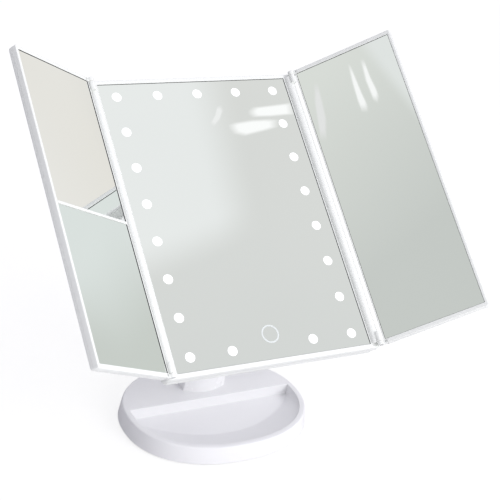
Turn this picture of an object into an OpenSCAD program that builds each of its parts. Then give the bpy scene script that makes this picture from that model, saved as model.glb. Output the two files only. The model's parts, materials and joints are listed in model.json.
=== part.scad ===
// Tri-fold lighted table mirror: a tilting centre panel with a ring of light windows,
// two folding side panels, a hollow neck and a weighted oval base with a tray.
// Frame: X to the viewer's right, Y to the back, Z up, origin under the base's middle.

/* [Base] */
// Half width of the base's top, across
base_rx = 76.8; // [70:0.2:90]
// Half depth of the base's top, front to back
base_ry = 58; // [54:0.5:66]
// Outward slope of the side wall from top to bottom
base_flare = 1.8; // [0:0.2:3]
// Height of the base's top above the table
base_top = 15.8; // [15:0.2:20]
// Height of the rubber pads under the base
foot_h = 1.2; // [0.8:0.1:2]
// Radius of a rubber pad
foot_r = 6; // [4:0.5:8]
// Wall of the base cover
base_wall = 2.4; // [1.8:0.2:3]
// Thickness of the base's bottom plate
plate_t = 2; // [1.6:0.2:2.6]
// Thickness of the steel weight
ballast_t = 6; // [3:0.5:8]
// Width of the rim around the tray
tray_rim = 5; // [4:0.5:8]
// Straight back edge of the tray, in front of or behind the middle
tray_back = 7; // [2:0.5:9]
// Depth of the tray below the top
tray_depth = 9.4; // [5:0.2:9.6]
// Width of the slope that rises from the tray's floor to its front rim
tray_slope = 23.5; // [6:0.5:26]

/* [Neck] */
// Half width of the neck's foot
neck_foot_w = 19.3; // [18:0.1:24]
// Half width of the neck at its top
neck_top_w = 14.5; // [13:0.5:17]
// Reach of the neck's foot in front of the pivot
neck_foot_front = 18.9; // [16:0.2:21]
// Wall of the neck's shells
neck_wall = 2.4; // [2:0.2:3]
// Height of the neck's top
neck_top = 140; // [130:1:142]
// Half width of the pivot eye
eye_w = 10; // [8:0.5:11]
// Radius of the pivot eye
eye_r = 8.2; // [7:0.2:8.6]
// Radius of the pivot bolt
shaft_r = 3; // [2.5:0.25:3.5]
// Running clearance of the pivot bolt
shaft_fit = 0.05; // [0.02:0.01:0.09]

/* [Centre panel] */
// Angle the panel leans back from upright
tilt = 53.8; // [10:0.2:80]
// Place of the tilt pivot, behind the base's middle
pivot_y = 33.7; // [30:0.1:38]
// Height of the tilt pivot
pivot_z = 156.5; // [154:0.5:165]
// Distance from the glass front to the pivot
glass_back = 24; // [23.5:0.5:28]
// Half width of the panel across its side rails
panel_w = 89.6; // [88:0.2:96]
// Half height of the panel
panel_h = 120.5; // [118:0.5:130]
// Width of the top and bottom bezels
bezel_w = 3.55; // [3.4:0.05:6]
// Width of the side rails with their inner lip
rail_w = 8.25; // [8:0.05:9]
// Width of the rails' inner lip
lip_w = 0.85; // [0.5:0.05:1]
// Height of the bezel above the glass
bezel_up = 0.8; // [0.4:0.1:1]
// Thickness of the mirror glass
glass_t = 2; // [1.8:0.1:2.2]
// Thickness of the adhesive sheet behind the glass
tape_t = 0.6; // [0.4:0.1:0.8]
// Thickness of the plate that carries the glass
carrier_t = 1.8; // [1.4:0.1:2]
// Depth of the panel's front frame behind the glass
frame_back = 6; // [5.6:0.1:6.4]
// Depth of the panel's back cover behind the glass
shell_back = 14.5; // [14:0.1:14.8]
// Wall of the back cover
shell_wall = 1.8; // [1.4:0.1:2]

/* [Lights] */
// Distance of the outer light windows inside the rails' outer faces
led_in_x = 21.6; // [20:0.1:26]
// Distance of the outer light windows below the panel's top edge
led_in_z = 14.45; // [12:0.05:16]
// Radius of a light window
led_r = 3.8; // [3:0.1:4.2]
// Outer radius of the touch ring
touch_r = 7.1; // [6:0.1:8]
// Height of the touch ring above the lowest lights
touch_up = 8.7; // [7:0.1:10]

/* [Side panels] */
// Angle of the left side panel in front of flat
left_open = 34.9; // [0:0.1:120]
// Angle of the right side panel in front of flat
right_open = 44.4; // [0:0.1:120]
// Distance of the hinge pins inside the rails' outer faces
hinge_in = 2.4; // [2:0.1:2.6]
// Height of the hinge pins above the glass
hinge_n = 4.8; // [4.7:0.1:5.4]
// Radius of the hinge pins
pin_r = 1; // [0.8:0.1:1.2]
// Radius of the hinge knuckles
knuckle_r = 2.4; // [2:0.1:2.5]
// Thickness of a side panel
wing_t = 7; // [6.6:0.1:8]
// Half of the gap between the side panels' edges when they are closed
close_gap = 1.05; // [0.8:0.05:4]
// Width of the side panel's outer bezel
wing_bezel = 2.4; // [2:0.1:4]
// Height of the crossbar between the two magnifying mirrors, from the middle
bar_z = -1.3; // [-20:0.1:20]
// Width of the crossbar
bar_w = 2.2; // [1.6:0.1:5]
// Depth of the hollow in a magnifying mirror
dish_sag = 0.8; // [0.2:0.1:0.9]

/* [Battery] */
// Radius of a battery cell
cell_r = 5.2; // [5.1:0.05:5.25]
// Length of a battery cell
cell_l = 44.5; // [43.5:0.1:45]
// Lower end of the battery tray above the pivot
tray_z = 30; // [28:0.5:40]
// Thickness of the battery door
door_t = 1.7; // [1.4:0.1:2]

/* [Hidden] */
e = 0.01;

// clearances
gap = 0.25;           // glass in its pocket
seat = 0.1;           // piece laid against a piece
screw_r = 1.25;       // thread of the small screws
head_r = 2.6;         // head of the small screws

// base
tray_floor = base_top - tray_depth;
plate_top = foot_h + plate_t;
foot_in = 0.8;
foot_x = base_rx - 26;
foot_y = base_ry - 24;
foot_at = [[0, 0], [-foot_x, -foot_y], [foot_x, -foot_y], [-foot_x, foot_y], [foot_x, foot_y]];
tenon_x = 12;
tenon_y = 7;
tenon_z = plate_top + seat;
base_screw_x = base_rx - 20.8;
base_screw_rear = 20;
base_screw_front = -20;

// pivot stack along X
washer_t = 0.3;
lug_in = eye_w + washer_t + 0.1;
lug_t = 5.6;
lug_out = lug_in + lug_t;
lug_r = 8.5;
cap_out = lug_out + 8.5;
bolt_af = 5.2;
stem_w = 8;
stem_d = 5;
stem_z = neck_top - 22;

// panel
glass_hx = panel_w - rail_w;              // pocket, half width
glass_hz = panel_h - bezel_w;             // pocket, half height
carrier_n = -glass_t - tape_t;            // front of the carrier plate
board_n = carrier_n - carrier_t;          // back of the carrier plate
rail_r = (rail_w - lip_w) / 2;
rail_x = panel_w - rail_r;
rail_end = panel_h - 3.5;
hinge_x = panel_w - hinge_in;
ear_gap = 0.3;
wall_n = -shell_back + shell_wall;        // inner face of the back cover
shell_in = 0.6;                           // back cover inside the frame's outline
pad_n = wall_n + 2.4;                     // inner face of the pad under the bracket
bracket_x = 24;
bracket_z = 20;
bracket_t = 1.8;
led_dx = (panel_w - led_in_x) / 2;
led_top = panel_h - led_in_z;
led_dz = led_top / 3.5;
touch_z = -led_top + touch_up;
leds = [for (c = [-2:2]) [c * led_dx, led_top],
        for (r = [1:7], s = [-2, 2]) [s * led_dx, led_top - r * led_dz],
        for (s = [-1, 1]) [s * led_dx, -led_top]];
boss_x = 2 * led_dx + 12;
boss_z = panel_h - 20.5;
port_x = panel_w - 37.6;
port_z = 22.5 - panel_h;
pcb_t = 1;
pcb_w = 5;
ctl_x = 30;
ctl_z0 = 30.5 - panel_h;
ctl_z1 = ctl_z0 + 40;
ctl_n = board_n - 3.6;
ctl_t = 1.2;

// battery
bay_w = 4 * (2 * cell_r + 0.6) / 2 + 0.5;
bay_l = cell_l + 7.5;
bay_wall = 1.5;
bay_n = board_n - 1;                      // front of the tray's floor
cell_n = bay_n - bay_wall - cell_r - 0.4;
bay_back = cell_n - cell_r - 0.5;
hump_w = bay_w + 4.7;
hump_n = bay_back - door_t - 0.3;         // outer face of the battery hump
hump_z0 = tray_z - 3;
hump_z1 = tray_z + bay_l + 2 * bay_wall + 3;
door_w = bay_w + bay_wall + 0.3;
tongue = 1.2;

// side panels
wing_w = hinge_x - close_gap;             // from the pin to the outer edge
wing_in = knuckle_r + 0.55;
wing_lip = 1.1;
wing_front = -0.35;
wing_glass_n = wing_front - 0.7;
wing_glass_t = 1.8;
wing_pad_t = 0.75;
wing_floor = wing_glass_n - wing_glass_t - wing_pad_t;
wing_mid = wing_floor - 1;
wing_back = wing_front - wing_t;
wing_h = panel_h - 0.2;
wing_u0 = wing_in + wing_lip;             // pocket, inner side
wing_u1 = wing_w - wing_bezel;            // pocket, outer side
ear_z = rail_end + ear_gap;
peg_r = 1.5;
peg_z = panel_h - 30.5;
knuckle_l = 7;                            // length of a knuckle
pin_in = knuckle_l - 0.6;                 // length of a pin inside its knuckle

function sgn_pow(c, k) = sign(c) * pow(abs(c), k);
// Closed oval of half sizes a and b, a little squarer than an ellipse
function oval(a, b, n = 2.2, steps = 72) =
    [for (i = [0:steps - 1]) let (t = 360 * i / steps)
        [a * sgn_pow(cos(t), 2 / n), b * sgn_pow(sin(t), 2 / n)]];
// Rectangle of half sizes a and b with round corners
function rrect(a, b, r, k = 6) =
    [for (q = [0:3], i = [0:k]) let (t = 90 * q + 90 * i / k)
        [(q == 0 || q == 3 ? a - r : r - a) + r * cos(t), (q < 2 ? b - r : r - b) + r * sin(t)]];
// D-shaped neck section: half width h, reach f to the front and b to the back. The front is
// an arc that falls back by d at the sides and turns into them with the corner radius c.
function dsec(h, f, b, d, c = 1.6) = let (a = atan(2 * d / h), xe = h - c + c * sin(a),
        yc = d * pow(xe / h, 2) - f + c * cos(a))
    concat(
        [for (i = [-7:7]) let (x = xe * i / 7) [x, d * pow(x / h, 2) - f]],
        [for (i = [1:4]) let (t = (a - 90) * (1 - i / 4)) [h - c + c * cos(t), yc + c * sin(t)]],
        [for (i = [0:16]) let (t = 180 * i / 16) [h * sgn_pow(cos(t), 0.8), b * sgn_pow(sin(t), 0.8)]],
        [for (i = [4:-1:1]) let (t = (a - 90) * (1 - i / 4)) [c - h - c * cos(t), yc + c * sin(t)]]);

// Placement of the tilting panel, with its pivot at the origin, and of a side panel at its pin
module in_head() { translate([0, pivot_y, pivot_z]) rotate([-tilt, 0, 0]) children(); }
module in_wing(side, angle) {
    in_head() translate([side * hinge_x, -glass_back - hinge_n, 0]) rotate([0, 0, -side * angle])
        mirror([side < 0 ? 1 : 0, 0, 0]) children();
}
// Box in the panel: x, n (out of the glass) and z
module slab(x0, x1, n0, n1, z0, z1) {
    translate([x0, -glass_back - n1, z0]) cube([x1 - x0, n1 - n0, z1 - z0]);
}
// Outline in the panel's plane, from depth n0 to n1
module plate_n(pts, n0, n1) {
    translate([0, -glass_back - n0, 0]) rotate([90, 0, 0]) linear_extrude(n1 - n0) polygon(pts);
}
// Round piece across the panel's plane
module peg_n(x, z, r, n0, n1, fn = 48) {
    translate([x, -glass_back - n0, z]) rotate([90, 0, 0]) cylinder(r = r, h = n1 - n0, $fn = fn);
}
// Box in a side panel: u from the pin, w out of the face, and z
module wslab(u0, u1, w0, w1, z0, z1) { translate([u0, -w1, z0]) cube([u1 - u0, w1 - w0, z1 - z0]); }
// Round bar along X
module bar_x(x0, x1, r, fn = 64) {
    translate([x0, 0, 0]) rotate([0, 90, 0]) cylinder(r = r, h = x1 - x0, $fn = fn);
}
// Coil of wire, its radius running from ra to rb over the height h
module coil(ra, rb, h, turns, wire) {
    steps = turns * 10;
    sides = 5;
    pts = [for (i = [0:steps], j = [0:sides - 1])
        let (t = i / steps, a = 360 * turns * t, b = 360 * j / sides, r = ra + (rb - ra) * t + wire * cos(b))
        [r * cos(a), r * sin(a), wire + (h - 2 * wire) * t + wire * sin(b)]];
    faces = [for (i = [0:steps - 1], j = [0:sides - 1]) let (k = (j + 1) % sides)
        [i * sides + j, (i + 1) * sides + j, (i + 1) * sides + k, i * sides + k]];
    ends = [[for (j = [0:sides - 1]) j], [for (j = [sides - 1:-1:0]) steps * sides + j]];
    polyhedron(pts, concat(faces, ends));
}
// Round wire through the given points
module wire(path, r) {
    n = len(path);
    sides = 8;
    dirs = [for (i = [0:n - 1]) let (a = path[max(i - 1, 0)], b = path[min(i + 1, n - 1)])
        (b - a) / norm(b - a)];
    pts = [for (i = [0:n - 1], j = [0:sides - 1])
        let (d = dirs[i], s0 = cross(d, [0, 1, 0]), s = s0 / norm(s0), q = cross(s, d), a = 360 * j / sides)
        path[i] + r * (s * cos(a) + q * sin(a))];
    faces = [for (i = [0:n - 2], j = [0:sides - 1]) let (k = (j + 1) % sides)
        [i * sides + j, i * sides + k, (i + 1) * sides + k, (i + 1) * sides + j]];
    ends = [[for (j = [sides - 1:-1:0]) j], [for (j = [0:sides - 1]) (n - 1) * sides + j]];
    polyhedron(pts, concat(faces, ends));
}

// ---- base ----
module tray_outline(grow) {
    intersection() {
        polygon(oval(base_rx - tray_rim + grow, base_ry - tray_rim + grow));
        translate([-base_rx, -base_ry]) square([2 * base_rx, base_ry + tray_back + grow]);
    }
}
// Floor of the tray: its outline cut by an arc that runs into the rim at both ends
module tray_bed() {
    front = base_ry - tray_rim - tray_slope;
    wide = base_rx - tray_rim;
    deep = front + tray_back;
    r = (wide * wide + deep * deep) / (2 * deep);
    intersection() {
        tray_outline(0);
        translate([0, r - front]) circle(r = r, $fn = 144);
    }
}
module tray_room() {
    hull() {
        translate([0, 0, tray_floor]) linear_extrude(e) tray_bed();
        translate([0, 0, base_top - 0.6]) linear_extrude(2) tray_outline(0);
    }
}
module base_holes(r, z0, z1) {
    for (s = [-1, 1], y = [base_screw_front, base_screw_rear])
        translate([s * base_screw_x, y, z0]) cylinder(r = r, h = z1 - z0, $fn = 32);
}
module base_shell() {
    color([0.93, 0.93, 0.96]) difference() {
        union() {
            difference() {
                translate([0, 0, foot_h]) linear_extrude(base_top - foot_h,
                    scale = [base_rx / (base_rx + base_flare), base_ry / (base_ry + base_flare)])
                    polygon(oval(base_rx + base_flare, base_ry + base_flare));
                tray_room();
                translate([0, 0, foot_h - 1]) linear_extrude(plate_t + 1)
                    polygon(oval(base_rx - base_wall, base_ry - base_wall));
                translate([0, 0, foot_h]) linear_extrude(tray_floor - 2 - foot_h)
                    polygon(oval(base_rx - base_wall - 1.5, base_ry - base_wall - 1.5));
                translate([0, 0, foot_h]) linear_extrude(base_top - base_wall - foot_h) difference() {
                    polygon(oval(base_rx - base_wall - 1.5, base_ry - base_wall - 1.5));
                    tray_outline(base_wall);
                }
            }
            for (s = [-1, 1]) {
                translate([s * base_screw_x, base_screw_rear, plate_top])
                    cylinder(r = 3.4, h = base_top - 1 - plate_top, $fn = 32);
                translate([s * base_screw_x, base_screw_front, plate_top])
                    cylinder(r = 3.4, h = tray_floor - 1 - plate_top, $fn = 32);
            }
        }
        for (s = [-1, 1]) {
            translate([s * base_screw_x, base_screw_rear, 0])
                cylinder(r = screw_r, h = base_top - 4, $fn = 32);
            translate([s * base_screw_x, base_screw_front, 0])
                cylinder(r = screw_r, h = tray_floor - 0.8, $fn = 32);
        }
        translate([-tenon_x - seat, pivot_y - tenon_y - seat, foot_h + 1])
            cube([2 * (tenon_x + seat), 2 * (tenon_y + seat), base_top]);
    }
}
module base_plate() {
    color([0.85, 0.85, 0.88]) difference() {
        translate([0, 0, foot_h]) linear_extrude(plate_t)
            polygon(oval(base_rx - base_wall - gap, base_ry - base_wall - gap));
        base_holes(screw_r + 0.1, 0, plate_top + 1);
        base_holes(head_r + 0.1, 0, foot_h + 1.1);
        for (s = [-1, 1]) translate([s * tenon_x / 2, pivot_y, 0]) {
            cylinder(r = screw_r + 0.1, h = 9, $fn = 32);
            cylinder(r = head_r + 0.1, h = foot_h + 1.1, $fn = 32);
        }
        for (p = foot_at) translate(p) cylinder(r = foot_r + seat, h = foot_h + foot_in, $fn = 48);
    }
}
module ballast() {
    color("dimgray") difference() {
        translate([0, 0, plate_top]) linear_extrude(ballast_t) difference() {
            polygon(oval(base_rx - base_wall - 3, base_ry - base_wall - 3));
            tray_outline(base_wall + 0.8);
        }
        translate([-tenon_x - 1, pivot_y - tenon_y - 1, 0]) cube([2 * tenon_x + 2, 2 * tenon_y + 2, 30]);
        base_holes(4, 0, 30);
    }
}
module feet() {
    color("black") for (p = foot_at) translate(p) cylinder(r = foot_r, h = foot_h + foot_in, $fn = 48);
}
module screw_up(h) {
    cylinder(r = head_r, h = 1, $fn = 32);
    cylinder(r = screw_r, h = h, $fn = 32);
}
module base_screws() {
    color("silver") for (s = [-1, 1]) {
        translate([s * base_screw_x, base_screw_rear, foot_h + 0.1]) screw_up(9);
        translate([s * base_screw_x, base_screw_front, foot_h + 0.1]) screw_up(tray_floor - 1 - foot_h);
    }
}

// ---- neck ----
neck_waist = pivot_z - panel_h - 0.5;     // the upright panel's lower edge passes above it
neck_secs = [[base_top, neck_foot_w, neck_foot_front, 15.3, 6],
    [base_top + 0.62 * (neck_waist - base_top), neck_foot_w - 0.9, neck_foot_front - 0.7, 15, 6],
    [neck_waist, 16.6, 8.5, 12.8, 4.8], [neck_top, neck_top_w, 8.1, 9.8, 4.4]];
module neck_slice(z, h, f, b, d) {
    translate([0, pivot_y, z]) linear_extrude(e) polygon(dsec(h, f, b, d));
}
module neck_solid() {
    for (i = [0:2]) let (p = neck_secs[i], q = neck_secs[i + 1]) hull() {
        neck_slice(p[0], p[1], p[2], p[3], p[4]);
        neck_slice(q[0] - e, q[1], q[2], q[3], q[4]);
    }
}
module neck_hollow() {
    w = neck_wall;
    hull() {
        neck_slice(base_top + 7, 18 - w, 14 - w, 14 - w, 4);
        neck_slice(neck_waist + 2.5, 16.5 - w, 8.3 - w, 12.7 - w, 3);
    }
    hull() {
        neck_slice(neck_waist + 2.5, 16.5 - w, 8.3 - w, 12.7 - w, 3);
        neck_slice(neck_top - w, neck_top_w - w, 8.1 - w, 9.8 - w, 3);
    }
}
neck_screw_z = [base_top + 44.2, neck_top - 40, stem_z + 6, stem_z + 14];
module neck_half(front) {
    lo = front ? -40 : 0;
    difference() {
        union() {
            intersection() {
                difference() {
                    neck_solid();
                    neck_hollow();
                }
                translate([-40, pivot_y + lo, 0]) cube([80, 40, 200]);
            }
            intersection() {
                translate([-tenon_x, pivot_y - tenon_y, tenon_z])
                    cube([2 * tenon_x, 2 * tenon_y, base_top + 1 - tenon_z]);
                translate([-40, pivot_y + lo, 0]) cube([80, 40, 200]);
            }
            for (z = neck_screw_z) translate([0, pivot_y + (front ? -6.6 : 0), z]) rotate([-90, 0, 0])
                cylinder(r = 3.2, h = front ? 6.6 : 11 - (z - neck_secs[2][0]) / 60, $fn = 32);
        }
        translate([-stem_w - seat, pivot_y - stem_d - seat, stem_z - 1])
            cube([2 * (stem_w + seat), 2 * (stem_d + seat), 60]);
        for (z = neck_screw_z) translate([0, pivot_y - 7.2, z]) rotate([-90, 0, 0]) {
            cylinder(r = screw_r, h = 30, $fn = 32);
            if (!front) translate([0, 0, 14.6]) cylinder(r = head_r + 0.1, h = 12, $fn = 32);
        }
        for (s = [-1, 1]) translate([s * tenon_x / 2, pivot_y, 0])
            cylinder(r = screw_r, h = base_top - 2, $fn = 32);
    }
}
module neck_front() { color([0.94, 0.94, 0.97]) neck_half(true); }
module neck_rear() { color([0.92, 0.92, 0.95]) neck_half(false); }
module neck_screws() {
    color("silver") for (z = neck_screw_z) translate([0, pivot_y + 7.45, z]) rotate([90, 0, 0]) {
        cylinder(r = screw_r - 0.02, h = 14.2, $fn = 32);
        translate([0, 0, -1.2]) cylinder(r = head_r, h = 1.2, $fn = 32);
    }
}
module anchor_screws() {
    color("silver") for (s = [-1, 1]) translate([s * tenon_x / 2, pivot_y, foot_h + 0.1]) {
        cylinder(r = head_r, h = 1, $fn = 32);
        cylinder(r = screw_r - 0.02, h = base_top - 4 - foot_h, $fn = 32);
    }
}
module pivot_eye() {
    color([0.75, 0.75, 0.78]) difference() {
        union() {
            translate([-stem_w, pivot_y - stem_d, stem_z]) cube([2 * stem_w, 2 * stem_d, pivot_z - stem_z]);
            translate([0, pivot_y, pivot_z]) bar_x(-eye_w, eye_w, eye_r);
            translate([-eye_w, pivot_y - stem_d, neck_top + seat])
                cube([2 * eye_w, 2 * stem_d, pivot_z - neck_top - seat]);
        }
        translate([0, pivot_y, pivot_z]) bar_x(-20, 20, shaft_r + shaft_fit);
        for (z = [stem_z + 6, stem_z + 14]) translate([0, pivot_y - 10, z]) rotate([-90, 0, 0])
            cylinder(r = screw_r, h = 20, $fn = 32);
    }
}
module ring_x(x0, x1, ro, ri) {
    difference() {
        bar_x(x0, x1, ro);
        bar_x(x0 - 1, x1 + 1, ri);
    }
}
module friction_washers() {
    color("dimgray") translate([0, pivot_y, pivot_z]) for (s = [-1, 1])
        mirror([s < 0 ? 1 : 0, 0, 0]) ring_x(eye_w + 0.05, eye_w + washer_t + 0.05, 7.4, shaft_r + shaft_fit);
}
module pivot_bolt() {
    color("silver") translate([0, pivot_y, pivot_z]) {
        bar_x(-lug_out - 1, lug_out + 6.4, shaft_r);
        bar_x(-lug_out - 3.8, -lug_out - 0.2, bolt_af, 6);
    }
}
module spring_washers() {
    color("gray") translate([0, pivot_y, pivot_z]) {
        ring_x(lug_out + 0.2, lug_out + 0.9, 5.8, shaft_r + shaft_fit);
        ring_x(lug_out + 1, lug_out + 2, 5.2, shaft_r + shaft_fit);
    }
}
module pivot_nut() {
    color("silver") translate([0, pivot_y, pivot_z]) difference() {
        bar_x(lug_out + 2.1, lug_out + 5.4, bolt_af, 6);
        bar_x(0, lug_out + 9, shaft_r + 0.02);
    }
}

// ---- centre panel ----
module center_frame() {
    color([0.96, 0.965, 0.98]) in_head() difference() {
        union() {
            difference() {
                plate_n(rrect(panel_w, panel_h, 2.5), -frame_back, bezel_up);
                slab(-glass_hx, glass_hx, carrier_n, 5, -glass_hz, glass_hz);
                slab(-panel_w + 2.4, panel_w - 2.4, -frame_back - 1, board_n, -panel_h + 2.4, panel_h - 2.4);
            }
            for (s = [-1, 1]) translate([s * rail_x, -glass_back - bezel_up, -rail_end])
                cylinder(r = rail_r, h = 2 * rail_end, $fn = 64);
            for (s = [-1, 1], t = [-1, 1])
                translate([s * hinge_x, -glass_back - hinge_n, t > 0 ? rail_end - knuckle_l : -rail_end])
                    cylinder(r = knuckle_r, h = knuckle_l, $fn = 48);
            for (s = [-1, 1], z = [-boss_z, 0, boss_z])
                peg_n(s * boss_x, z, 3.2, wall_n + seat, board_n + e, 32);
            for (s = [-1, 1], z = [ctl_z0 + 4, ctl_z1 - 4])
                peg_n(s * (ctl_x - 4), z, 2.6, ctl_n, board_n + e, 32);
        }
        for (p = leds) peg_n(p[0], p[1], led_r + 0.4, board_n - 1, 1, 32);
        peg_n(0, touch_z, 8, board_n - 1, 1);
        for (s = [-1, 1], t = [-1, 1]) {
            translate([s * hinge_x, -glass_back - hinge_n, t > 0 ? rail_end - pin_in - 0.2 : -rail_end - 4])
                cylinder(r = pin_r + 0.06, h = pin_in + 4.2, $fn = 32);
            mirror([s < 0 ? 1 : 0, 0, 0]) slab(hinge_x - knuckle_r - 0.6, panel_w + 1, -0.6, 9,
                t > 0 ? rail_end : -panel_h - 1, t > 0 ? panel_h + 1 : -rail_end);
        }
        for (s = [-1, 1], z = [-boss_z, 0, boss_z])
            peg_n(s * boss_x, z, screw_r, wall_n - 1, board_n - 1, 32);
        for (s = [-1, 1], z = [ctl_z0 + 4, ctl_z1 - 4])
            peg_n(s * (ctl_x - 4), z, 0.9, ctl_n - 1, board_n - 0.6, 32);
    }
}
module center_mirror() {
    color([0.86, 0.88, 0.88]) in_head() difference() {
        slab(-glass_hx + gap, glass_hx - gap, -glass_t, 0, -glass_hz + gap, glass_hz - gap);
        for (p = leds) peg_n(p[0], p[1], led_r + 0.02, -glass_t - 1, 1);
        difference() {
            peg_n(0, touch_z, touch_r + 0.02, -0.3, 1, 64);
            peg_n(0, touch_z, touch_r - 1.22, -0.4, 2, 64);
        }
    }
}
module mirror_tape() {
    color("white") in_head() difference() {
        slab(-glass_hx + 1, glass_hx - 1, carrier_n, -glass_t, -glass_hz + 1, glass_hz - 1);
        for (p = leds) peg_n(p[0], p[1], led_r + 0.4, -9, 1, 32);
        peg_n(0, touch_z, 8, -9, 1);
    }
}
module led_windows() {
    color([1, 1, 1]) in_head() for (p = leds) peg_n(p[0], p[1], led_r, -glass_t, 0);
}
module touch_ring() {
    color([0.95, 0.97, 1]) in_head() difference() {
        peg_n(0, touch_z, touch_r, -0.3, 0, 64);
        peg_n(0, touch_z, touch_r - 1.2, -1, 1, 64);
    }
}
module led_board() {
    color([0.9, 0.92, 0.9]) in_head() difference() {
        slab(-2 * led_dx - pcb_w, 2 * led_dx + pcb_w, board_n - pcb_t, board_n, -led_top - pcb_w,
            led_top + pcb_w);
        slab(-2 * led_dx + pcb_w, 2 * led_dx - pcb_w, -20, 1, -led_top + 2 * pcb_w + 6, led_top - pcb_w);
    }
}
module led_chips() {
    color([1, 0.95, 0.7]) in_head() for (p = leds)
        slab(p[0] - 1.75, p[0] + 1.75, board_n, board_n + 0.9, p[1] - 1.4, p[1] + 1.4);
}
module touch_pad() {
    color("gold") in_head() difference() {
        peg_n(0, touch_z, 6.6, board_n, -glass_t, 48);
        peg_n(0, touch_z, 5, board_n - 1, -glass_t - 0.5, 48);
    }
}
module control_board() {
    color("green") in_head() difference() {
        slab(-ctl_x, ctl_x, ctl_n - ctl_t, ctl_n, ctl_z0, ctl_z1);
        for (s = [-1, 1], z = [ctl_z0 + 4, ctl_z1 - 4]) peg_n(s * (ctl_x - 4), z, 1.1, -30, 0, 32);
    }
}
module board_parts() {
    b = ctl_n - ctl_t;
    z = ctl_z0;
    color([0.15, 0.15, 0.15]) in_head() {
        slab(-6, 6, b - 1.6, b, z + 16, z + 22);
        slab(-18, -12, b - 1.8, b, z + 26, z + 32);
        slab(12, 19, b - 1.4, b, z + 8, z + 13);
        peg_n(16, z + 26, 2.5, b - 2.2, b, 32);
        peg_n(-16, z + 12, 2, b - 2, b, 32);
    }
}
module board_screws() {
    color("silver") in_head() for (s = [-1, 1], z = [ctl_z0 + 4, ctl_z1 - 4]) {
        peg_n(s * (ctl_x - 4), z, 0.88, ctl_n - ctl_t - 0.5, board_n - 0.8, 32);
        peg_n(s * (ctl_x - 4), z, 1.8, ctl_n - ctl_t - 1.1, ctl_n - ctl_t, 32);
    }
}
module usb_socket() {
    color("silver") in_head() difference() {
        slab(-port_x - 4.4, -port_x + 4.4, -shell_back + 0.2, -7.4, port_z - 1.6, port_z + 1.6);
        slab(-port_x - 3.9, -port_x + 3.9, -shell_back - 1, -8, port_z - 1.1, port_z + 1.1);
    }
}
module switch_body() {
    color("silver") in_head() difference() {
        slab(port_x - 6, port_x + 6, wall_n, -8, port_z - 3.4, port_z + 3.4);
        slab(port_x - 4.1, port_x + 4.1, wall_n - 1, -9.6, port_z - 1.8, port_z + 1.8);
    }
}
module switch_knob() {
    color([0.2, 0.2, 0.22]) in_head()
        slab(port_x - 3.5, port_x + 0.5, -shell_back - 1.3, -9.9, port_z - 1.4, port_z + 1.4);
}

// ---- battery bay ----
module battery_tray() {
    color([0.3, 0.3, 0.32]) in_head() difference() {
        slab(-bay_w - bay_wall, bay_w + bay_wall, bay_back, bay_n, tray_z, tray_z + bay_l + 2 * bay_wall);
        slab(-bay_w, bay_w, bay_back - 1, bay_n - bay_wall, tray_z + bay_wall, tray_z + bay_wall + bay_l);
    }
}
cell_z = tray_z + bay_wall + bay_l - cell_l - 0.6;
module cells_at() {
    for (i = [-1.5:1.5]) translate([i * (2 * cell_r + 0.6), -glass_back - cell_n, cell_z]) children();
}
module battery_cells() {
    color("orange") in_head() cells_at() {
        cylinder(r = cell_r, h = cell_l - 1, $fn = 48);
        cylinder(r = 1.9, h = cell_l, $fn = 32);
    }
}
module battery_springs() {
    h = cell_z - tray_z - bay_wall - 0.55;
    color("silver") in_head() cells_at() translate([0, 0, -h]) coil(3.6, 2.2, h, 3, 0.35);
}
module battery_plates() {
    color("silver") in_head() cells_at() {
        translate([-4, -4, -(cell_z - tray_z - bay_wall)]) cube([8, 8, 0.5]);
        translate([-4, -4, cell_l + 0.1]) cube([8, 8, 0.5]);
    }
}
module battery_door() {
    z0 = hump_z0 + 2.5;
    color([0.93, 0.93, 0.95]) in_head() {
        slab(-door_w, door_w, hump_n + 0.05, hump_n + door_t, z0, hump_z1 - 0.3);
        slab(-door_w - tongue + 0.3, door_w + tongue - 0.3, hump_n + door_t - 0.7, hump_n + door_t, z0,
            hump_z1 - 3);
        for (k = [0:4])
            slab(-8, 8, hump_n - 0.35, hump_n + 0.3, hump_z1 - 8 - 2.4 * k, hump_z1 - 7 - 2.4 * k);
    }
}
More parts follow.
